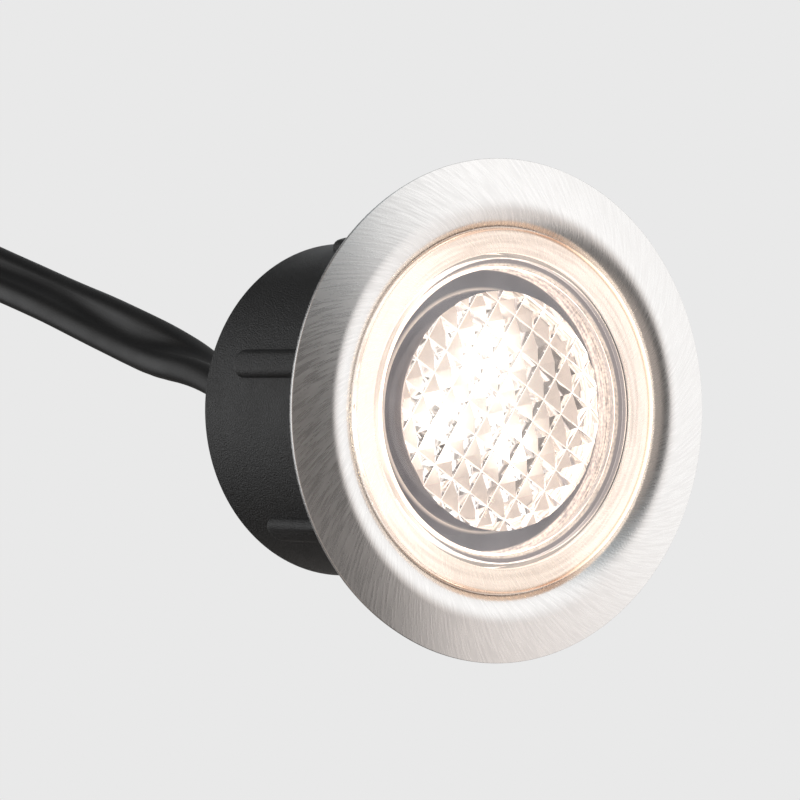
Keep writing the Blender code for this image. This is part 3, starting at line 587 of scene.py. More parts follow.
def make_board_finish():
    """White solder mask with a painted warm glow round the LEDs, and painted shade under the lens's skirt:
    a grey margin with a dim painted glow.
    """
    made, shader, place = new_material("white board")
    split, flat, radius = around_axis(place)
    glow = None
    # Painted pools of warm light round the LEDs, brighter on the -Y side
    for number in range(LED_COUNT):
        turn = LED_PHASE + math.tau * number / LED_COUNT
        middle = (-math.sin(turn) * LED_CIRCLE, math.cos(turn) * LED_CIRCLE, 0.0)
        away = vector_math("DISTANCE", {0: flat, 1: middle})
        near = ranged(away, PAINTED_BOARD_GLOW_REACH, PAINTED_BOARD_GLOW_CORE)
        glow = near if glow is None else math_node("MAXIMUM", glow, near)
    glow = times(glow, ranged(split[1], DIM_SIDE, BRIGHT_SIDE, 0.40, 1.0))
    fine = noise(place, CLOUD_SCALE, 4.0)
    speckle = ranged(fine, 0.35, 0.65, 0.9, 1.0)
    # Painted shade: beyond the bore the board turns grey and glows only dimly, for the shade under the
    # lens's skirt
    margin = ranged(radius, SKIRT_BORE - FADE, SKIRT_BORE + 3 * FADE)
    white = mixed(margin, (0.80, 0.76, 0.73), (0.09, 0.09, 0.10))
    lit = mixed(glow, (0.15, 0.120, 0.113), (1.15, 1.0, 0.88))
    smear = ranged(noise(place, SMEAR_SCALE, 3.0), 0.35, 0.65)
    shadow = mixed(smear, (0.062, 0.062, 0.076), (0.108, 0.104, 0.120))
    set_shader(
        shader,
        Base_Color=vector_math("SCALE", {0: white, 3: speckle}),
        Roughness=ranged(fine, 0.3, 0.7, 0.35, 0.55),
        Emission_Color=mixed(margin, lit, shadow),
        Emission_Strength=1.0,
    )
    return made


def make_phosphor():
    """The lit phosphor of the LEDs, hottest in the middle of its fine grain."""
    made, shader, place = new_material("lit phosphor")
    grain = noise(place, PHOSPHOR_SCALE, 2.0)
    lit = mixed(grain, (1.0, 0.80, 0.52), (1.0, 0.90, 0.70))
    body = mixed(grain, (0.85, 0.6, 0.2), (0.95, 0.75, 0.35))
    set_shader(shader, Base_Color=body, Emission_Color=lit, Emission_Strength=40.0, Roughness=0.4)
    return made


def make_plating(name, dark, light, roughness):
    """Plated or drawn metal with fine scratches along Z."""
    made, shader, place = new_material(name)
    inputs = {"Vector": place, "Scale": (1.0, 1.0, 0.08)}
    stretched = node(made.node_tree, "ShaderNodeMapping", inputs).outputs[0]
    scratches = noise(stretched, SCRATCH_SCALE, 3.0)
    set_shader(
        shader,
        Base_Color=mixed(scratches, dark, light),
        Roughness=ranged(scratches, 0.3, 0.7, roughness, roughness + 0.12),
        Normal=bumped(scratches, SCRATCH_DEPTH),
        Metallic=1.0,
    )
    return made


def make_tie_finish():
    """Hook-and-loop band: a dense pile of short loops."""
    made, shader, place = new_material("loop pile")
    inputs = {"Vector": place, "Scale": LOOP_SCALE}
    cells = node(made.node_tree, "ShaderNodeTexVoronoi", inputs).outputs["Distance"]
    tufts = noise(place, TUFT_SCALE, 4.0)
    pile = times(cells, tufts)
    set_shader(
        shader,
        Base_Color=mixed(ranged(pile, 0.0, 0.5), (0.012, 0.012, 0.013), (0.05, 0.05, 0.052)),
        Roughness=ranged(tufts, 0.3, 0.7, 0.75, 0.95),
        Normal=bumped(pile, PILE_DEPTH),
        Sheen_Weight=0.3,
    )
    return made


# Mesh helpers
def coat(mesh, finish):
    """A mesh's only material."""
    mesh.materials.clear()
    mesh.materials.append(finish)


def added(name, mesh):
    """An object at the origin that holds a mesh."""
    made = bpy.data.objects.new(name, mesh)
    bpy.context.scene.collection.objects.link(made)
    return made


def piece(name, mesh, finish, slot, body="root", cad=()):
    """A finished piece: its mesh in an object at the origin, on a body, in place of its CAD nodes."""
    if finish is not None:
        coat(mesh, finish)
    made = added(name, mesh)
    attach(made, body)
    if cad:
        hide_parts(*cad)
    return made


def shaded(mesh, angle):
    """A mesh shaded smooth but for its sharp edges."""
    mesh.shade_smooth()
    mesh.set_sharp_from_angle(angle=math.radians(angle))
    return mesh


def from_bmesh(name, made, angle=30.0):
    """A mesh from a bmesh, facing outwards and smooth but for its sharp edges."""
    bmesh.ops.recalc_face_normals(made, faces=made.faces)
    mesh = bpy.data.meshes.new(name)
    made.to_mesh(mesh)
    made.free()
    return shaded(mesh, angle)


def softened(outline, closed=True, steps=4):
    """Points of an outline of (radius, height, rounding), with its corners rounded."""
    made = []
    count = len(outline)
    for number, (across, up, rounding) in enumerate(outline):
        corner = Vector((across, up))
        if not rounding or (not closed and number in (0, count - 1)):
            made.append(tuple(corner))
            continue
        before = (Vector(outline[number - 1][:2]) - corner).normalized()
        after = (Vector(outline[(number + 1) % count][:2]) - corner).normalized()
        half = before.angle(after) / 2
        middle = corner + (before + after).normalized() * rounding / math.sin(half)
        start = corner + before * rounding / math.tan(half) - middle
        end = corner + after * rounding / math.tan(half) - middle
        for step in range(steps + 1):
            made.append(tuple(middle + start.lerp(end, step / steps).normalized() * rounding))
    return made


def lathe(profile, steps=ROUND, closed=True):
    """A closed body turned about Z from (radius, height) points. An open profile ends on the axis."""
    made = bmesh.new()
    turns = [math.tau * step / steps for step in range(steps)]
    rows = []
    for radius, height in profile:
        if radius == 0:
            rows.append([made.verts.new((0.0, 0.0, height))])
        else:
            places = [(radius * math.cos(turn), radius * math.sin(turn), height) for turn in turns]
            rows.append([made.verts.new(place) for place in places])
    for low, high in zip(rows, rows[1:] + rows[:1] if closed else rows[1:]):
        for step in range(steps):
            after = (step + 1) % steps
            under = [low[place % len(low)] for place in (step, after)]
            above = [high[place % len(high)] for place in (after, step)]
            corners = list(dict.fromkeys(under + above))
            if len(corners) > 2:
                made.faces.new(corners)
    return made


def turned(name, outline, finish, slot, steps=ROUND, closed=True, angle=30.0, place=None, **where):
    """A turned piece from an outline with rounded corners."""
    made = lathe(softened(outline, closed), steps, closed)
    if place is not None:
        bmesh.ops.translate(made, vec=place, verts=made.verts)
    return piece(name, from_bmesh(name, made, angle), finish, slot, **where)


def corners_of(parts):
    """The vertices among the parts that an operation gave back."""
    return [part for part in parts if isinstance(part, bmesh.types.BMVert)]


def box(size, middle, edge):
    """A box as a bmesh, with rounded edges."""
    made = bmesh.new()
    bmesh.ops.create_cube(made, size=1.0)
    bmesh.ops.scale(made, vec=Vector(size), verts=made.verts)
    bmesh.ops.bevel(made, geom=made.edges[:], offset=edge, segments=3, affect="EDGES", profile=0.5)
    bmesh.ops.translate(made, vec=Vector(middle), verts=made.verts)
    return made


def settled(thing, others=()):
    """The plain mesh that an object's modifiers give. The object and its helpers are removed."""
    bpy.context.view_layer.update()
    mesh = bpy.data.meshes.new_from_object(thing.evaluated_get(bpy.context.evaluated_depsgraph_get()))
    for old in (thing, *others):
        bpy.data.objects.remove(old, do_unlink=True)
    return mesh


def cut(thing, cutter, operation="DIFFERENCE"):
    """An exact Boolean added to a thing."""
    step = thing.modifiers.new(operation.title(), "BOOLEAN")
    step.operation = operation
    step.solver = "EXACT"
    step.object = cutter


# Trees of Geometry Nodes
def new_geometry_tree(name, inputs):
    """A tree of Geometry Nodes with its named inputs."""
    tree = bpy.data.node_groups.new(name, "GeometryNodeTree")
    for label, kind in inputs.items():
        tree.interface.new_socket(label, in_out="INPUT", socket_type=f"NodeSocket{kind}")
    tree.interface.new_socket("Geometry", in_out="OUTPUT", socket_type="NodeSocketGeometry")
    return tree, tree.nodes.new("NodeGroupInput").outputs, tree.nodes.new("NodeGroupOutput")


def end_tree(tree, out, points, instance, turn, finish):
    """Instances on points, made real and given their finish."""
    inputs = {"Points": points, "Instance": instance, "Rotation": turn}
    spread = node(tree, "GeometryNodeInstanceOnPoints", inputs)
    real = node(tree, "GeometryNodeRealizeInstances", {"Geometry": spread.outputs[0]})
    joined = node(tree, "GeometryNodeMergeByDistance", {"Geometry": real.outputs[0], "Distance": MERGE})
    dressed = node(tree, "GeometryNodeSetMaterial", {"Geometry": joined.outputs[0], "Material": finish})
    tree.links.new(dressed.outputs[0], out.inputs[0])


def make_round_tree():
    """Copies of one piece on a circle about Z, each turned to face outwards."""
    tree, given, out = new_geometry_tree(
        "pieces on a circle",
        {"Piece": "Object", "Count": "Int", "Radius": "Float", "Phase": "Float", "Finish": "Material"},
    )
    circle = node(tree, "GeometryNodeMeshCircle", {"Vertices": given["Count"], "Radius": given["Radius"]})
    phase = node(tree, "ShaderNodeCombineXYZ", {2: given["Phase"]}).outputs[0]
    placed = node(tree, "GeometryNodeTransform", {"Geometry": circle.outputs[0], "Rotation": phase})
    index = node(tree, "GeometryNodeInputIndex").outputs[0]
    step = math_node("DIVIDE", math.tau, given["Count"])
    turn = math_node("MULTIPLY_ADD", index, step, given["Phase"])
    spun = node(tree, "ShaderNodeCombineXYZ", {2: turn})
    source = node(tree, "GeometryNodeObjectInfo", {"Object": given["Piece"], "As Instance": True})
    end_tree(tree, out, placed.outputs[0], source.outputs["Geometry"], spun.outputs[0], given["Finish"])
    return tree


def make_pyramid_tree():
    """A square field of pyramids, base to base."""
    tree, given, out = new_geometry_tree(
        "field of pyramids",
        {"Count": "Int", "Pitch": "Float", "Height": "Float", "Finish": "Material"},
    )
    side = times(math_node("SUBTRACT", given["Count"], 1.0), given["Pitch"])
    sides = {f"Size {axis}": side for axis in "XY"}
    counts = {f"Vertices {axis}": given["Count"] for axis in "XY"}
    grid = node(tree, "GeometryNodeMeshGrid", {**sides, **counts})
    base = math_node("DIVIDE", given["Pitch"], math.sqrt(2))
    sizes = {"Vertices": 4, "Radius Top": 0.0, "Radius Bottom": base, "Depth": given["Height"]}
    cone = node(tree, "GeometryNodeMeshCone", sizes, fill_type="NONE")
    turn = node(tree, "ShaderNodeCombineXYZ", {2: math.pi / 4})
    end_tree(tree, out, grid.outputs[0], cone.outputs["Mesh"], turn.outputs[0], given["Finish"])
    return tree


def grown(name, tree, **values):
    """The plain mesh that a tree gives for its named inputs."""
    thing = added(name, bpy.data.meshes.new(name))
    step = thing.modifiers.new("Tree", "NODES")
    step.node_group = tree
    sockets = {item.name: item.identifier for item in tree.interface.items_tree if item.in_out == "INPUT"}
    for label, value in values.items():
        step[sockets[label]] = value
    return settled(thing)


def round_pattern(name, mesh, count, radius, phase, finish):
    """A mesh repeated on a circle about Z."""
    source = added(f"{name}_source", mesh)
    made = grown(name, round_tree, Piece=source, Count=count, Radius=radius, Phase=phase, Finish=finish)
    bpy.data.objects.remove(source, do_unlink=True)
    return made


# The cord
def smooth_route(points, steps):
    """Points of a smooth curve through the route's own points."""
    padded = [points[0] * 2 - points[1], *points, points[-1] * 2 - points[-2]]
    made = []
    for before, start, end, after in zip(padded, padded[1:], padded[2:], padded[3:]):
        for step in range(steps):
            share = step / steps
            made.append(0.5 * (
                2 * start
                + (end - before) * share
                + (2 * before - 5 * start + 4 * end - after) * share**2
                + (3 * start - before - 3 * end + after) * share**3
            ))
    return made + [points[-1]]


def coil_place(centre, turns):
    """A point of the coil and its outward direction: it spirals in, changes layer and spirals out again."""
    inner_turns = COIL_TURNS / 2 - 0.25
    inward = min(turns, inner_turns, COIL_TURNS - turns)
    climb = min(max((turns - inner_turns) / 0.5, 0.0), 1.0)
    radius = COIL_RADIUS - COIL_STEP * inward - COIL_TUCK * math.sin(math.pi * climb)
    layer = COIL_LAYER * climb * climb * (3 - 2 * climb)
    turn = math.pi + math.tau * turns
    outward = Vector((math.cos(turn), 0.0, math.sin(turn)))
    return centre + outward * radius - Vector((0.0, layer, 0.0)), outward


def between(value, stations, results):
    """A smooth value between stations that run downwards."""
    if value >= stations[0]:
        return results[0]
    for high, low, first, second in zip(stations, stations[1:], results, results[1:]):
        if value >= low:
            share = (high - value) / (high - low)
            return first + (second - first) * share * share * (3 - 2 * share)
    return results[-1]


def heading(line, number):
    """The way that a line of points runs at one of them."""
    return line[min(number + 1, len(line) - 1)] - line[max(number - 1, 0)]


def cord_line():
    """The cord's centreline, with the direction that its flat side spreads in at each point."""
    route = [CORD_START + Vector(point) for point in CORD_ROUTE]
    free = smooth_route(route, ROUTE_STEPS)
    line, widths, twists = [], [], []
    for number, point in enumerate(free):
        line.append(point)
        widths.append(heading(free, number).cross(view_back).normalized())
        twists.append(math.radians(between(point.z, TWIST_HEIGHTS, TWIST_ANGLES)))
    centre = route[-1] + Vector((COIL_RADIUS, 0.0, -CORD_GAP - CORD_WIDTH))
    steps = COIL_TURNS * COIL_POINTS
    for step in range(steps + 1):
        turns = COIL_TURNS * step / steps
        point, outward = coil_place(centre, turns)
        line.append(point)
        widths.append(outward)
        grown_in = min(turns / 0.4, 1.0, (COIL_TURNS - turns) / 0.4)
        wave = COIL_TWIST_WAVE * math.sin(math.tau * turns * 1.5)
        twists.append((COIL_TWIST + wave) * grown_in * grown_in * (3 - 2 * grown_in))
    last = line[-1]
    for step in range(1, TAIL_POINTS + 1):
        line.append(last - Vector((0.0, 0.0, COIL_TAIL * step / TAIL_POINTS)))
        widths.append(widths[-1])
        twists.append(0.0)
    return line, widths, twists


def twin_section():
    """The outline of a flat twin cord: two round lobes with a groove on each side."""
    made = []
    for side, middle in ((1, 0.0), (-1, math.pi)):
        for step in range(LOBE_STEPS + 1):
            turn = middle - LOBE_REACH + 2 * LOBE_REACH * step / LOBE_STEPS
            made.append((side * LOBE_RADIUS + LOBE_RADIUS * math.cos(turn), LOBE_RADIUS * math.sin(turn)))
    return made


def make_cord(finish):
    """The twin cord as one swept mesh, from the grommet through the coil to the plug."""
    line, widths, twists = cord_line()
    section = twin_section()
    made = bmesh.new()
    rings = []
    for number, (point, width, twist) in enumerate(zip(line, widths, twists)):
        along = heading(line, number).normalized()
        across = (width - along * width.dot(along)).normalized()
        across = Matrix.Rotation(twist, 3, along) @ across
        thick = along.cross(across)
        rings.append([made.verts.new(point + across * a + thick * b) for a, b in section])
    for low, high in zip(rings, rings[1:]):
        for step in range(len(section)):
            after = (step + 1) % len(section)
            made.faces.new((low[step], low[after], high[after], high[step]))
    made.faces.new(rings[0])
    made.faces.new(rings[-1])
    mesh = from_bmesh("twin_cord", made, 50.0)
    return piece("twin_cord", mesh, finish, "sheath", cad=("cord", "cord_coil")), line


# The ring and its gasket
def bend(radius, middle, start, end, steps):
    """Sharp outline points of a bend about the middle of the crest, from one lean to another."""
    made = []
    for step in range(steps + 1):
        lean = start + (end - start) * step / steps
        made.append((CREST_RADIUS + radius * math.sin(lean), middle + radius * math.cos(lean), 0.0))
    return made


def crest_middle():
    """Height of the middle of the crest's bend."""
    touch = CREST_RADIUS + CREST_BEND * math.sin(RING_SLOPE)
    rise = (RING_RADIUS - touch) * math.tan(RING_SLOPE)
    return RING_SHEET * math.cos(RING_SLOPE) + rise - CREST_BEND * math.cos(RING_SLOPE)


def make_ring(finish):
    """The pressed ring: ledge, steep inner side, rolled crest, sloped face and a softened edge."""
    middle = crest_middle()
    inward = math.acos((RING_SHEET - middle) / CREST_BEND)
    inner = CREST_BEND - RING_SHEET
    low = math.acos(-middle / inner) if middle < inner else math.pi / 2
    edge_top = RING_SHEET * math.cos(RING_SLOPE)
    edge_in = RING_RADIUS - RING_SHEET * math.sin(RING_SLOPE)
    outline = [(LEDGE_RADIUS, 0.0, RING_EDGE), (LEDGE_RADIUS, RING_SHEET, RING_EDGE)]
    outline += bend(CREST_BEND, middle, -inward, RING_SLOPE, 48)
    outline += [(RING_RADIUS, edge_top, RING_EDGE * 1.5), (edge_in, 0.0, RING_EDGE)]
    outline += bend(inner, middle, RING_SLOPE, -low, 24)
    return turned("trim_ring_face", outline, finish, "trim", angle=40.0, cad=("trim_ring",))


def make_gasket(finish):
    """The soft ring in the hollow of the trim."""
    middle = crest_middle()
    inside = CREST_BEND - RING_SHEET - GASKET_CLEARANCE
    edge_in = RING_RADIUS - RING_SHEET * math.sin(RING_SLOPE)
    outer_height = (edge_in - GASKET_OUTER) * math.tan(RING_SLOPE) - GASKET_CLEARANCE
    inner = CREST_RADIUS - inside * math.sin(GASKET_LEAN)
    outline = [(GASKET_OUTER, outer_height, 0.0), (GASKET_OUTER, 0.0, RING_EDGE), (inner, 0.0, RING_EDGE)]
    outline += bend(inside, middle, -GASKET_LEAN, RING_SLOPE, 8)
    return turned("gasket_ring", outline, finish, "gasket", cad=("deck_gasket",))


# The lens
def thread_reach(turn, height):
    """How far the thread stands out at a turn and a height."""
    phase = (height / THREAD_PITCH - turn / math.tau) % 1.0
    flank = max(0.0, 1.0 - abs(2 * phase - 1) * 1.25)
    ridge = min(1.0, flank * 1.6)
    fade = min(1.0, (THREAD_TOP - height) / THREAD_PITCH * 3, (height - THREAD_END) / THREAD_PITCH * 3)
    return THREAD_HEIGHT * ridge * max(0.0, fade)


def held(profile):
    """The profile with points near both ends of its long straights but the front, for flat shading."""
    made = [profile[0]]
    for start, end in zip(profile, profile[1:]):
        way = Vector(end) - Vector(start)
        if start[0] and way.length > LENS_HOLD * 4:
            step = way.normalized() * LENS_HOLD
            made += [tuple(Vector(start) + step), tuple(Vector(end) - step)]
        made.append(end)
    return made


def make_lens(finish):
    """The clear moulding: flat front, rim, seal groove, threaded skirt and a ceiling of pyramid pits."""
    top = [
        (0.0, LENS_FRONT, 0.0),
        (LENS_RADIUS, LENS_FRONT, LENS_EDGE),
        (LENS_RADIUS, RIM_UNDERSIDE, LENS_EDGE / 4),
        (SKIRT_RADIUS, RIM_UNDERSIDE, LENS_EDGE / 2),
        (SKIRT_RADIUS, SEAL_MIDDLE + GROOVE_HALF, LENS_EDGE / 4),
        (GROOVE_FLOOR, SEAL_MIDDLE + GROOVE_HALF, LENS_EDGE / 2),
        (GROOVE_FLOOR, SEAL_MIDDLE - GROOVE_HALF, LENS_EDGE / 2),
        (SKIRT_RADIUS, SEAL_MIDDLE - GROOVE_HALF, LENS_EDGE / 4),
        (SKIRT_RADIUS, THREAD_TOP, 0.0),
    ]
    profile = held(softened(top, closed=False, steps=3))
    rows = round((THREAD_TOP - THREAD_END) / THREAD_ROW)
    threaded = [(SKIRT_RADIUS, THREAD_TOP - THREAD_ROW * (row + 1)) for row in range(rows)]
    foot = [(*threaded[-1], 0.0), (SKIRT_RADIUS, SKIRT_END, LENS_EDGE), (SKIRT_BORE, SKIRT_END, 0.0)]
    profile += threaded + softened(foot, closed=False, steps=3)[1:]
    made = lathe(profile, ROUND, closed=False)
    for vert in made.verts:
        if THREAD_END < vert.co.z < THREAD_TOP and vert.co.xy.length > GROOVE_FLOOR:
            turn = math.atan2(vert.co.y, vert.co.x)
            vert.co.xy *= 1 + thread_reach(turn, vert.co.z) / SKIRT_RADIUS
    made.from_mesh(make_pits(finish))
    bmesh.ops.remove_doubles(made, verts=made.verts, dist=MERGE)
    mesh = from_bmesh("clear_lens", made, 28.0)
    return piece("clear_lens", mesh, finish, "lens", body="lens", cad=("lens",))


def make_pits(finish):
    """The hollow inside the skirt: a round bore under a ceiling of pyramids, open at its foot."""
    count = 2 * math.ceil(SKIRT_BORE / PYRAMID_PITCH) + 1
    sizes = {"Count": count, "Pitch": PYRAMID_PITCH, "Height": PYRAMID_HEIGHT}
    field = grown("pyramid_field", pyramid_tree, **sizes, Finish=finish)
    walls = bmesh.new()
    walls.from_mesh(field)
    border = [edge for edge in walls.edges if edge.is_boundary]
    pulled = bmesh.ops.extrude_edge_only(walls, edges=border)["geom"]
    bmesh.ops.translate(walls, vec=(0.0, 0.0, 2 * SKIRT_END), verts=corners_of(pulled))
    ridges = [edge for edge in walls.edges if all(abs(vert.co.z) < MERGE for vert in edge.verts)]
    bmesh.ops.bevel(walls, geom=ridges, offset=RIDGE_HALF, segments=1, affect="EDGES", profile=0.5)
    bmesh.ops.holes_fill(walls, edges=[edge for edge in walls.edges if edge.is_boundary], sides=0)
    bmesh.ops.rotate(walls, matrix=Matrix.Rotation(PYRAMID_TURN, 3, "Z"), verts=walls.verts)
    bmesh.ops.translate(walls, vec=(0.0, 0.0, PYRAMID_PLANE), verts=walls.verts)
    cavity = added("lens_cavity", from_bmesh("lens_cavity", walls))
    can = [(0.0, LENS_FRONT), (SKIRT_BORE, LENS_FRONT), (SKIRT_BORE, SKIRT_END), (0.0, SKIRT_END)]
    bore = added("lens_bore", from_bmesh("lens_bore", lathe(can, ROUND, closed=False)))
    cut(bore, cavity, "INTERSECT")
    hollow = settled(bore, (cavity,))
    opened = bmesh.new()
    opened.from_mesh(hollow)
    foot = [face for face in opened.faces if all(abs(vert.co.z - SKIRT_END) < MERGE for vert in face.verts)]
    bmesh.ops.delete(opened, geom=foot, context="FACES")
    opened.to_mesh(hollow)
    opened.free()
    return hollow


def make_seal(finish):
    """The O-ring in the skirt's groove."""
    half = SEAL_CORD / 2
    outline = []
    for step in range(24):
        turn = -math.tau * step / 24
        outline.append((SEAL_RADIUS + half * math.cos(turn), SEAL_MIDDLE + half * math.sin(turn), 0.0))
    return turned("seal_ring", outline, finish, "seal", body="lens_seal", cad=("lens_seal",))


# The cup, its ribs and what it holds
def make_rib():
    """One rib at the angle 0: straight sides, a round end and soft edges."""
    half = RIB_WIDTH / 2
    outline = [(half, RIB_TOP), (-half, RIB_TOP)]
    for step in range(17):
        turn = math.pi + math.pi * step / 16
        outline.append((half * math.cos(turn), RIB_END + half + half * math.sin(turn)))
    made = bmesh.new()
    root = CUP_BORE + (CUP_RADIUS - CUP_BORE) / 2
    face = made.faces.new([made.verts.new((root, across, along)) for across, along in outline])
    pushed = bmesh.ops.extrude_face_region(made, geom=[face])["geom"]
    crown = corners_of(pushed)
    bmesh.ops.translate(made, vec=Vector((CUP_RADIUS + RIB_HEIGHT - root, 0.0, 0.0)), verts=crown)
    edges = [edge for edge in made.edges if edge.verts[0] in crown and edge.verts[1] in crown]
    bmesh.ops.bevel(made, geom=edges, offset=RIB_EDGE, segments=5, affect="EDGES", profile=0.5)
    return from_bmesh("rib", made)


def make_cup(finish):
    """The moulded cup, with its ribs set round it by a tree."""
    outline = [
        (CUP_BORE + LEAD_IN, CUP_TOP, 0.0),
        (CUP_RADIUS, CUP_TOP, RING_EDGE),
        (CUP_RADIUS, CUP_BACK, BACK_ROUND),
        (CUP_HOLE, CUP_BACK, RING_EDGE * 3),
        (CUP_HOLE, CUP_FLOOR, 0.0),
        (CUP_INNER, CUP_FLOOR, 0.0),
        (CUP_INNER, CUP_SHELF, 0.0),
        (CUP_BORE, CUP_SHELF, 0.0),
        (CUP_BORE, CUP_TOP - LEAD_IN, 0.0),
    ]
    cup = added("cup_blank", from_bmesh("cup_blank", lathe(softened(outline, steps=8))))
    ribs = added("cup_ribs", round_pattern("cup_ribs", make_rib(), RIB_COUNT, 0.0, RIB_PHASE, finish))
    cut(cup, ribs, "UNION")
    mesh = shaded(settled(cup, (ribs,)), 32.0)
    return piece("ribbed_cup", mesh, finish, "housing", cad=("housing",))


def make_board(finish):
    """The round board on the cup's shelf."""
    outline = [
        (0.0, BOARD_TOP, 0.0),
        (BOARD_RADIUS, BOARD_TOP, RING_EDGE),
        (BOARD_RADIUS, BOARD_UNDERSIDE, RING_EDGE),
        (0.0, BOARD_UNDERSIDE, 0.0),
    ]
    return turned("led_board", outline, finish, "board", closed=False, cad=("circuit_board",))


def make_leds(package, phosphor):
    """Three LED packages with their lit cups, set round the board by a tree."""
    top = BOARD_TOP + SEAT_GAP + LED_HEIGHT
    over = top + LED_HEIGHT
    bottom = top - LED_CUP_DEPTH
    blank = box((LED_WIDTH, LED_LENGTH, LED_HEIGHT), (0.0, 0.0, top - LED_HEIGHT / 2), LED_EDGE)
    block = added("led_block", from_bmesh("led_block", blank))
    cup = [(0.0, over), (LED_CUP_RADIUS * 1.5, over), (LED_CUP_RADIUS * 0.86, bottom), (0.0, bottom)]
    bowl = added("led_bowl", from_bmesh("led_bowl", lathe(cup, BOWL_ROUND, closed=False)))
    cut(block, bowl)
    mesh = shaded(settled(block, (bowl,)), 35.0)
    phase = LED_PHASE + math.pi / 2
    packages = round_pattern("led_packages", mesh, LED_COUNT, LED_CIRCLE, phase, package)
    piece("led_packages", packages, None, "led", cad=("led_1", "led_2", "led_3"))
    fill = LED_CUP_RADIUS * 0.9
    face = top - LED_CUP_DEPTH * 0.35
    under = top - LED_CUP_DEPTH * 0.95
    drop = [
        (0.0, face),
        (fill * 0.6, face - LED_CUP_DEPTH * 0.03),
        (fill, face - LED_CUP_DEPTH * 0.15),
        (fill * 0.95, under),
        (0.0, under),
    ]
    drop = from_bmesh("led_phosphor", lathe(drop, BOWL_ROUND, closed=False))
    fills = round_pattern("led_phosphor", drop, LED_COUNT, LED_CIRCLE, phase, phosphor)
    piece("led_phosphor", fills, None, "led")


def make_grommet(finish):
    """The rubber bush in the back wall, with a grooved tapered nose."""
    inside = CUP_FLOOR + FIT_GAP
    back = CUP_BACK - FIT_GAP
    start = back - FLANGE_THICKNESS
    tip = start - NOSE_LENGTH
    edge = FLANGE_THICKNESS / 4
    outline = [
        (0.0, inside + FLANGE_THICKNESS, 0.0),
        (FLANGE_RADIUS, inside + FLANGE_THICKNESS, edge),
        (FLANGE_RADIUS, inside, edge),
        (NECK_RADIUS, inside, 0.0),
        (NECK_RADIUS, back, 0.0),
        (FLANGE_RADIUS, back, edge),
        (FLANGE_RADIUS, start, edge),
    ]
    pitch = NOSE_LENGTH / (NOSE_GROOVES + 1)
    for number in range(NOSE_GROOVES + 1):
        for share in (0.12, 0.72) if number else (0.0, 0.72):
            height = start - pitch * (number + share)
            radius = NOSE_ROOT + (NOSE_TIP - NOSE_ROOT) * (start - height) / NOSE_LENGTH
            outline.append((radius, height, edge / 2))
        if number < NOSE_GROOVES:
            outline.append((radius - NOSE_GROOVE, height - pitch * 0.06, 0.0))
            outline.append((radius - NOSE_GROOVE, height - pitch * 0.30, 0.0))
    outline += [(NOSE_TIP, tip, edge), (0.0, tip, 0.0)]
    seat = {"closed": False, "cad": ("cable_grommet",)}
    return turned("grommet_nose", outline, finish, "grommet", SMALL_ROUND, **seat)


def make_floor():
    """A plain pale backdrop floor under the light."""
    low = cad_box[0].z
    made = bmesh.new()
    bmesh.ops.create_grid(made, x_segments=1, y_segments=1, size=VIEW_DISTANCE * 6)
    bmesh.ops.translate(made, vec=(0.0, 0.0, low - FLOOR_DROP), verts=made.verts)
    mesh = bpy.data.meshes.new("floor")
    made.to_mesh(mesh)
    made.free()
    finish = bpy.data.materials.new("pale floor")
    finish.use_nodes = True
    tree = finish.node_tree
    tree.nodes.clear()
    glow = node(tree, "ShaderNodeEmission", {"Color": shade(FLOOR_COLOUR)})
    out = node(tree, "ShaderNodeOutputMaterial")
    tree.links.new(glow.outputs[0], out.inputs["Surface"])
    mesh.materials.append(finish)
    floor = added("floor", mesh)
    for ray in ("diffuse", "glossy", "transmission", "shadow"):
        setattr(floor, f"visible_{ray}", False)


def make_studio():
    """Soft studio light: pale beyond the ring, warm from below the picture, grey overhead, dim in front."""
    world = bpy.data.worlds.new("soft studio")
    bpy.context.scene.world = world
    world.use_nodes = True
    tree = world.node_tree
    tree.nodes.clear()
    direction = node(tree, "ShaderNodeTexCoord").outputs["Generated"]

    def with_lamps(total, lamps):
        for aim, start, full, colour in lamps:
            product = vector_math("DOT_PRODUCT", {0: direction, 1: Vector(aim).normalized()})
            scaled = vector_math("SCALE", {0: colour, 3: ranged(product, start, full)})
            total = vector_math("ADD", {0: total, 1: scaled})
        return total

    height = vector_math("DOT_PRODUCT", {0: direction, 1: (0.0, 0.0, 1.0)})
    light = with_lamps(AMBIENT, SIDE_LAMPS)
    level = times(
        ranged(height, -0.55, -0.12, 0.10, 1.0),
        ranged(height, 0.3, 0.7, 0.92, 1.0),
        ranged(height, 0.90, 0.995, 1.0, 0.66),
    )
    light = with_lamps(vector_math("SCALE", {0: light, 3: level}), SPOT_LAMPS)
    glow = node(tree, "ShaderNodeBackground", {"Color": light, "Strength": 1.0})
    out = node(tree, "ShaderNodeOutputWorld")
    tree.links.new(glow.outputs[0], out.inputs["Surface"])


def dress(name, finish):
    """A CAD node that stays, with a better finish."""
    coat(nodes[name].data, finish)


make_camera()
make_studio()
bpy.context.scene.view_settings.view_transform = "Standard"
grain_group = make_grain_group()
stroke_group = make_stroke_group()
ring_group = make_ring_group()
round_tree = make_round_tree()
pyramid_tree = make_pyramid_tree()

sheath = moulded(
    "cord sheath", (0.006, 0.0061, 0.0065), (0.010, 0.010, 0.0103),
    roughness=0.47, scale=5200.0, depth=0.00001, Specular_IOR_Level=0.32,
)
cord, line = make_cord(sheath)

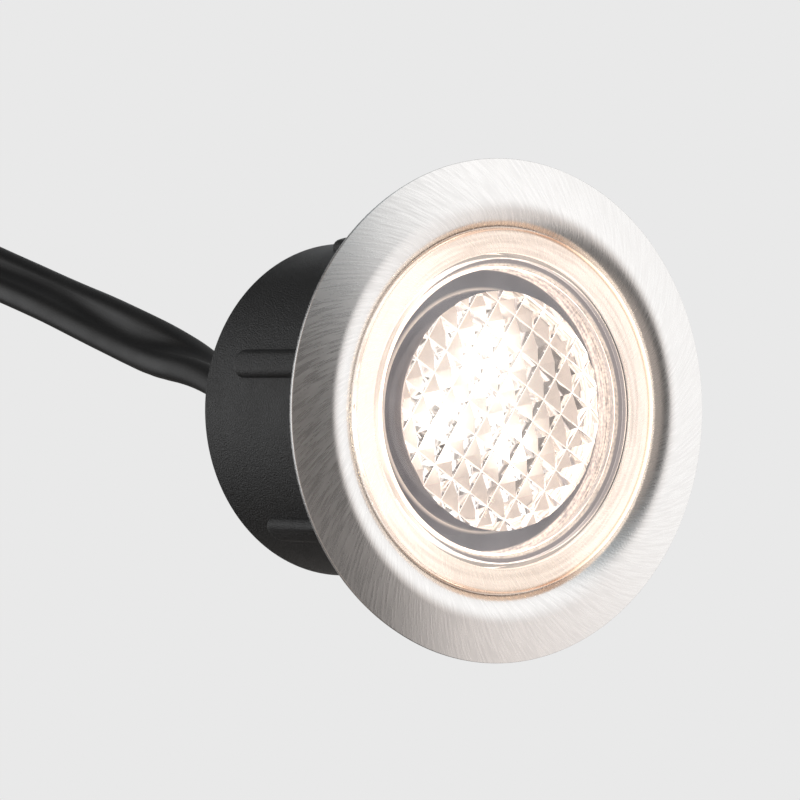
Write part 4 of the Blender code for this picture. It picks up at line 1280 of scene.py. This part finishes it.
steel = make_steel()
glass = make_glass()
rubber = moulded(
    "black rubber", (0.018, 0.018, 0.019), (0.034, 0.034, 0.035),
    roughness=0.62, scale=4200.0, depth=0.00002,
)
foam = moulded(
    "gasket rubber", (0.030, 0.030, 0.031), (0.055, 0.055, 0.056),
    roughness=0.82, scale=2600.0, depth=0.00008,
)
grey_rubber = moulded(
    "seal rubber", (0.10, 0.10, 0.105), (0.16, 0.16, 0.165),
    roughness=0.5, scale=5200.0, depth=0.00001,
)
plastic = moulded(
    "grained black plastic", (0.0010, 0.0011, 0.0013), (0.0145, 0.015, 0.0155),
    roughness=0.42, scale=6000.0, depth=0.00012, Specular_IOR_Level=0.33,
)
plug_plastic = moulded(
    "plug plastic", (0.014, 0.014, 0.015), (0.030, 0.030, 0.031),
    roughness=0.42, scale=6500.0, depth=0.00002,
)
# LED package: its white moulding glows a little with painted light, standing in for the LEDs' light falling
# on it
package = moulded(
    "LED package", (0.78, 0.76, 0.70), (0.9, 0.88, 0.82),
    roughness=0.4, scale=4000.0, depth=0.000005,
    Emission_Color=shade((1.0, 0.9, 0.78)), Emission_Strength=0.9,
)
chip = moulded(
    "chip moulding", (0.02, 0.02, 0.022), (0.045, 0.045, 0.047),
    roughness=0.5, scale=6000.0, depth=0.00001,
)
potting = moulded(
    "cast resin", (0.030, 0.030, 0.032), (0.042, 0.042, 0.044),
    roughness=0.25, scale=500.0, depth=0.00005,
)
red_core = moulded(
    "red core", (0.42, 0.022, 0.018), (0.52, 0.035, 0.028),
    roughness=0.4, scale=3000.0, depth=0.000005,
)
black_core = moulded(
    "black core", (0.012, 0.012, 0.013), (0.022, 0.022, 0.023),
    roughness=0.4, scale=3000.0, depth=0.000005,
)
brass = make_plating("plated brass", (0.72, 0.56, 0.26), (0.86, 0.71, 0.38), roughness=0.18)

make_ring(steel)
make_gasket(foam)
make_lens(glass)
make_seal(grey_rubber)
make_cup(plastic)
make_board(make_board_finish())
make_leds(package, make_phosphor())
make_grommet(rubber)
for name, finish, slot in (
    ("bridge_rectifier", chip, "chip"),
    ("current_regulator", chip, "chip"),
    ("resistor_1", chip, "chip"),
    ("resistor_2", chip, "chip"),
    ("core_wire_1", red_core, "core_red"),
    ("core_wire_2", black_core, "core_black"),
    ("potting_compound", potting, "potting"),
    ("coil_tie", make_tie_finish(), "tie"),
    ("plug_body", plug_plastic, "plug"),
    ("plug_pin_1", brass, "pin"),
    ("plug_pin_2", brass, "pin"),
    ("plug_seal", rubber, "seal"),
    ("coupling_nut", plug_plastic, "nut"),
):
    dress(name, finish)

make_floor()
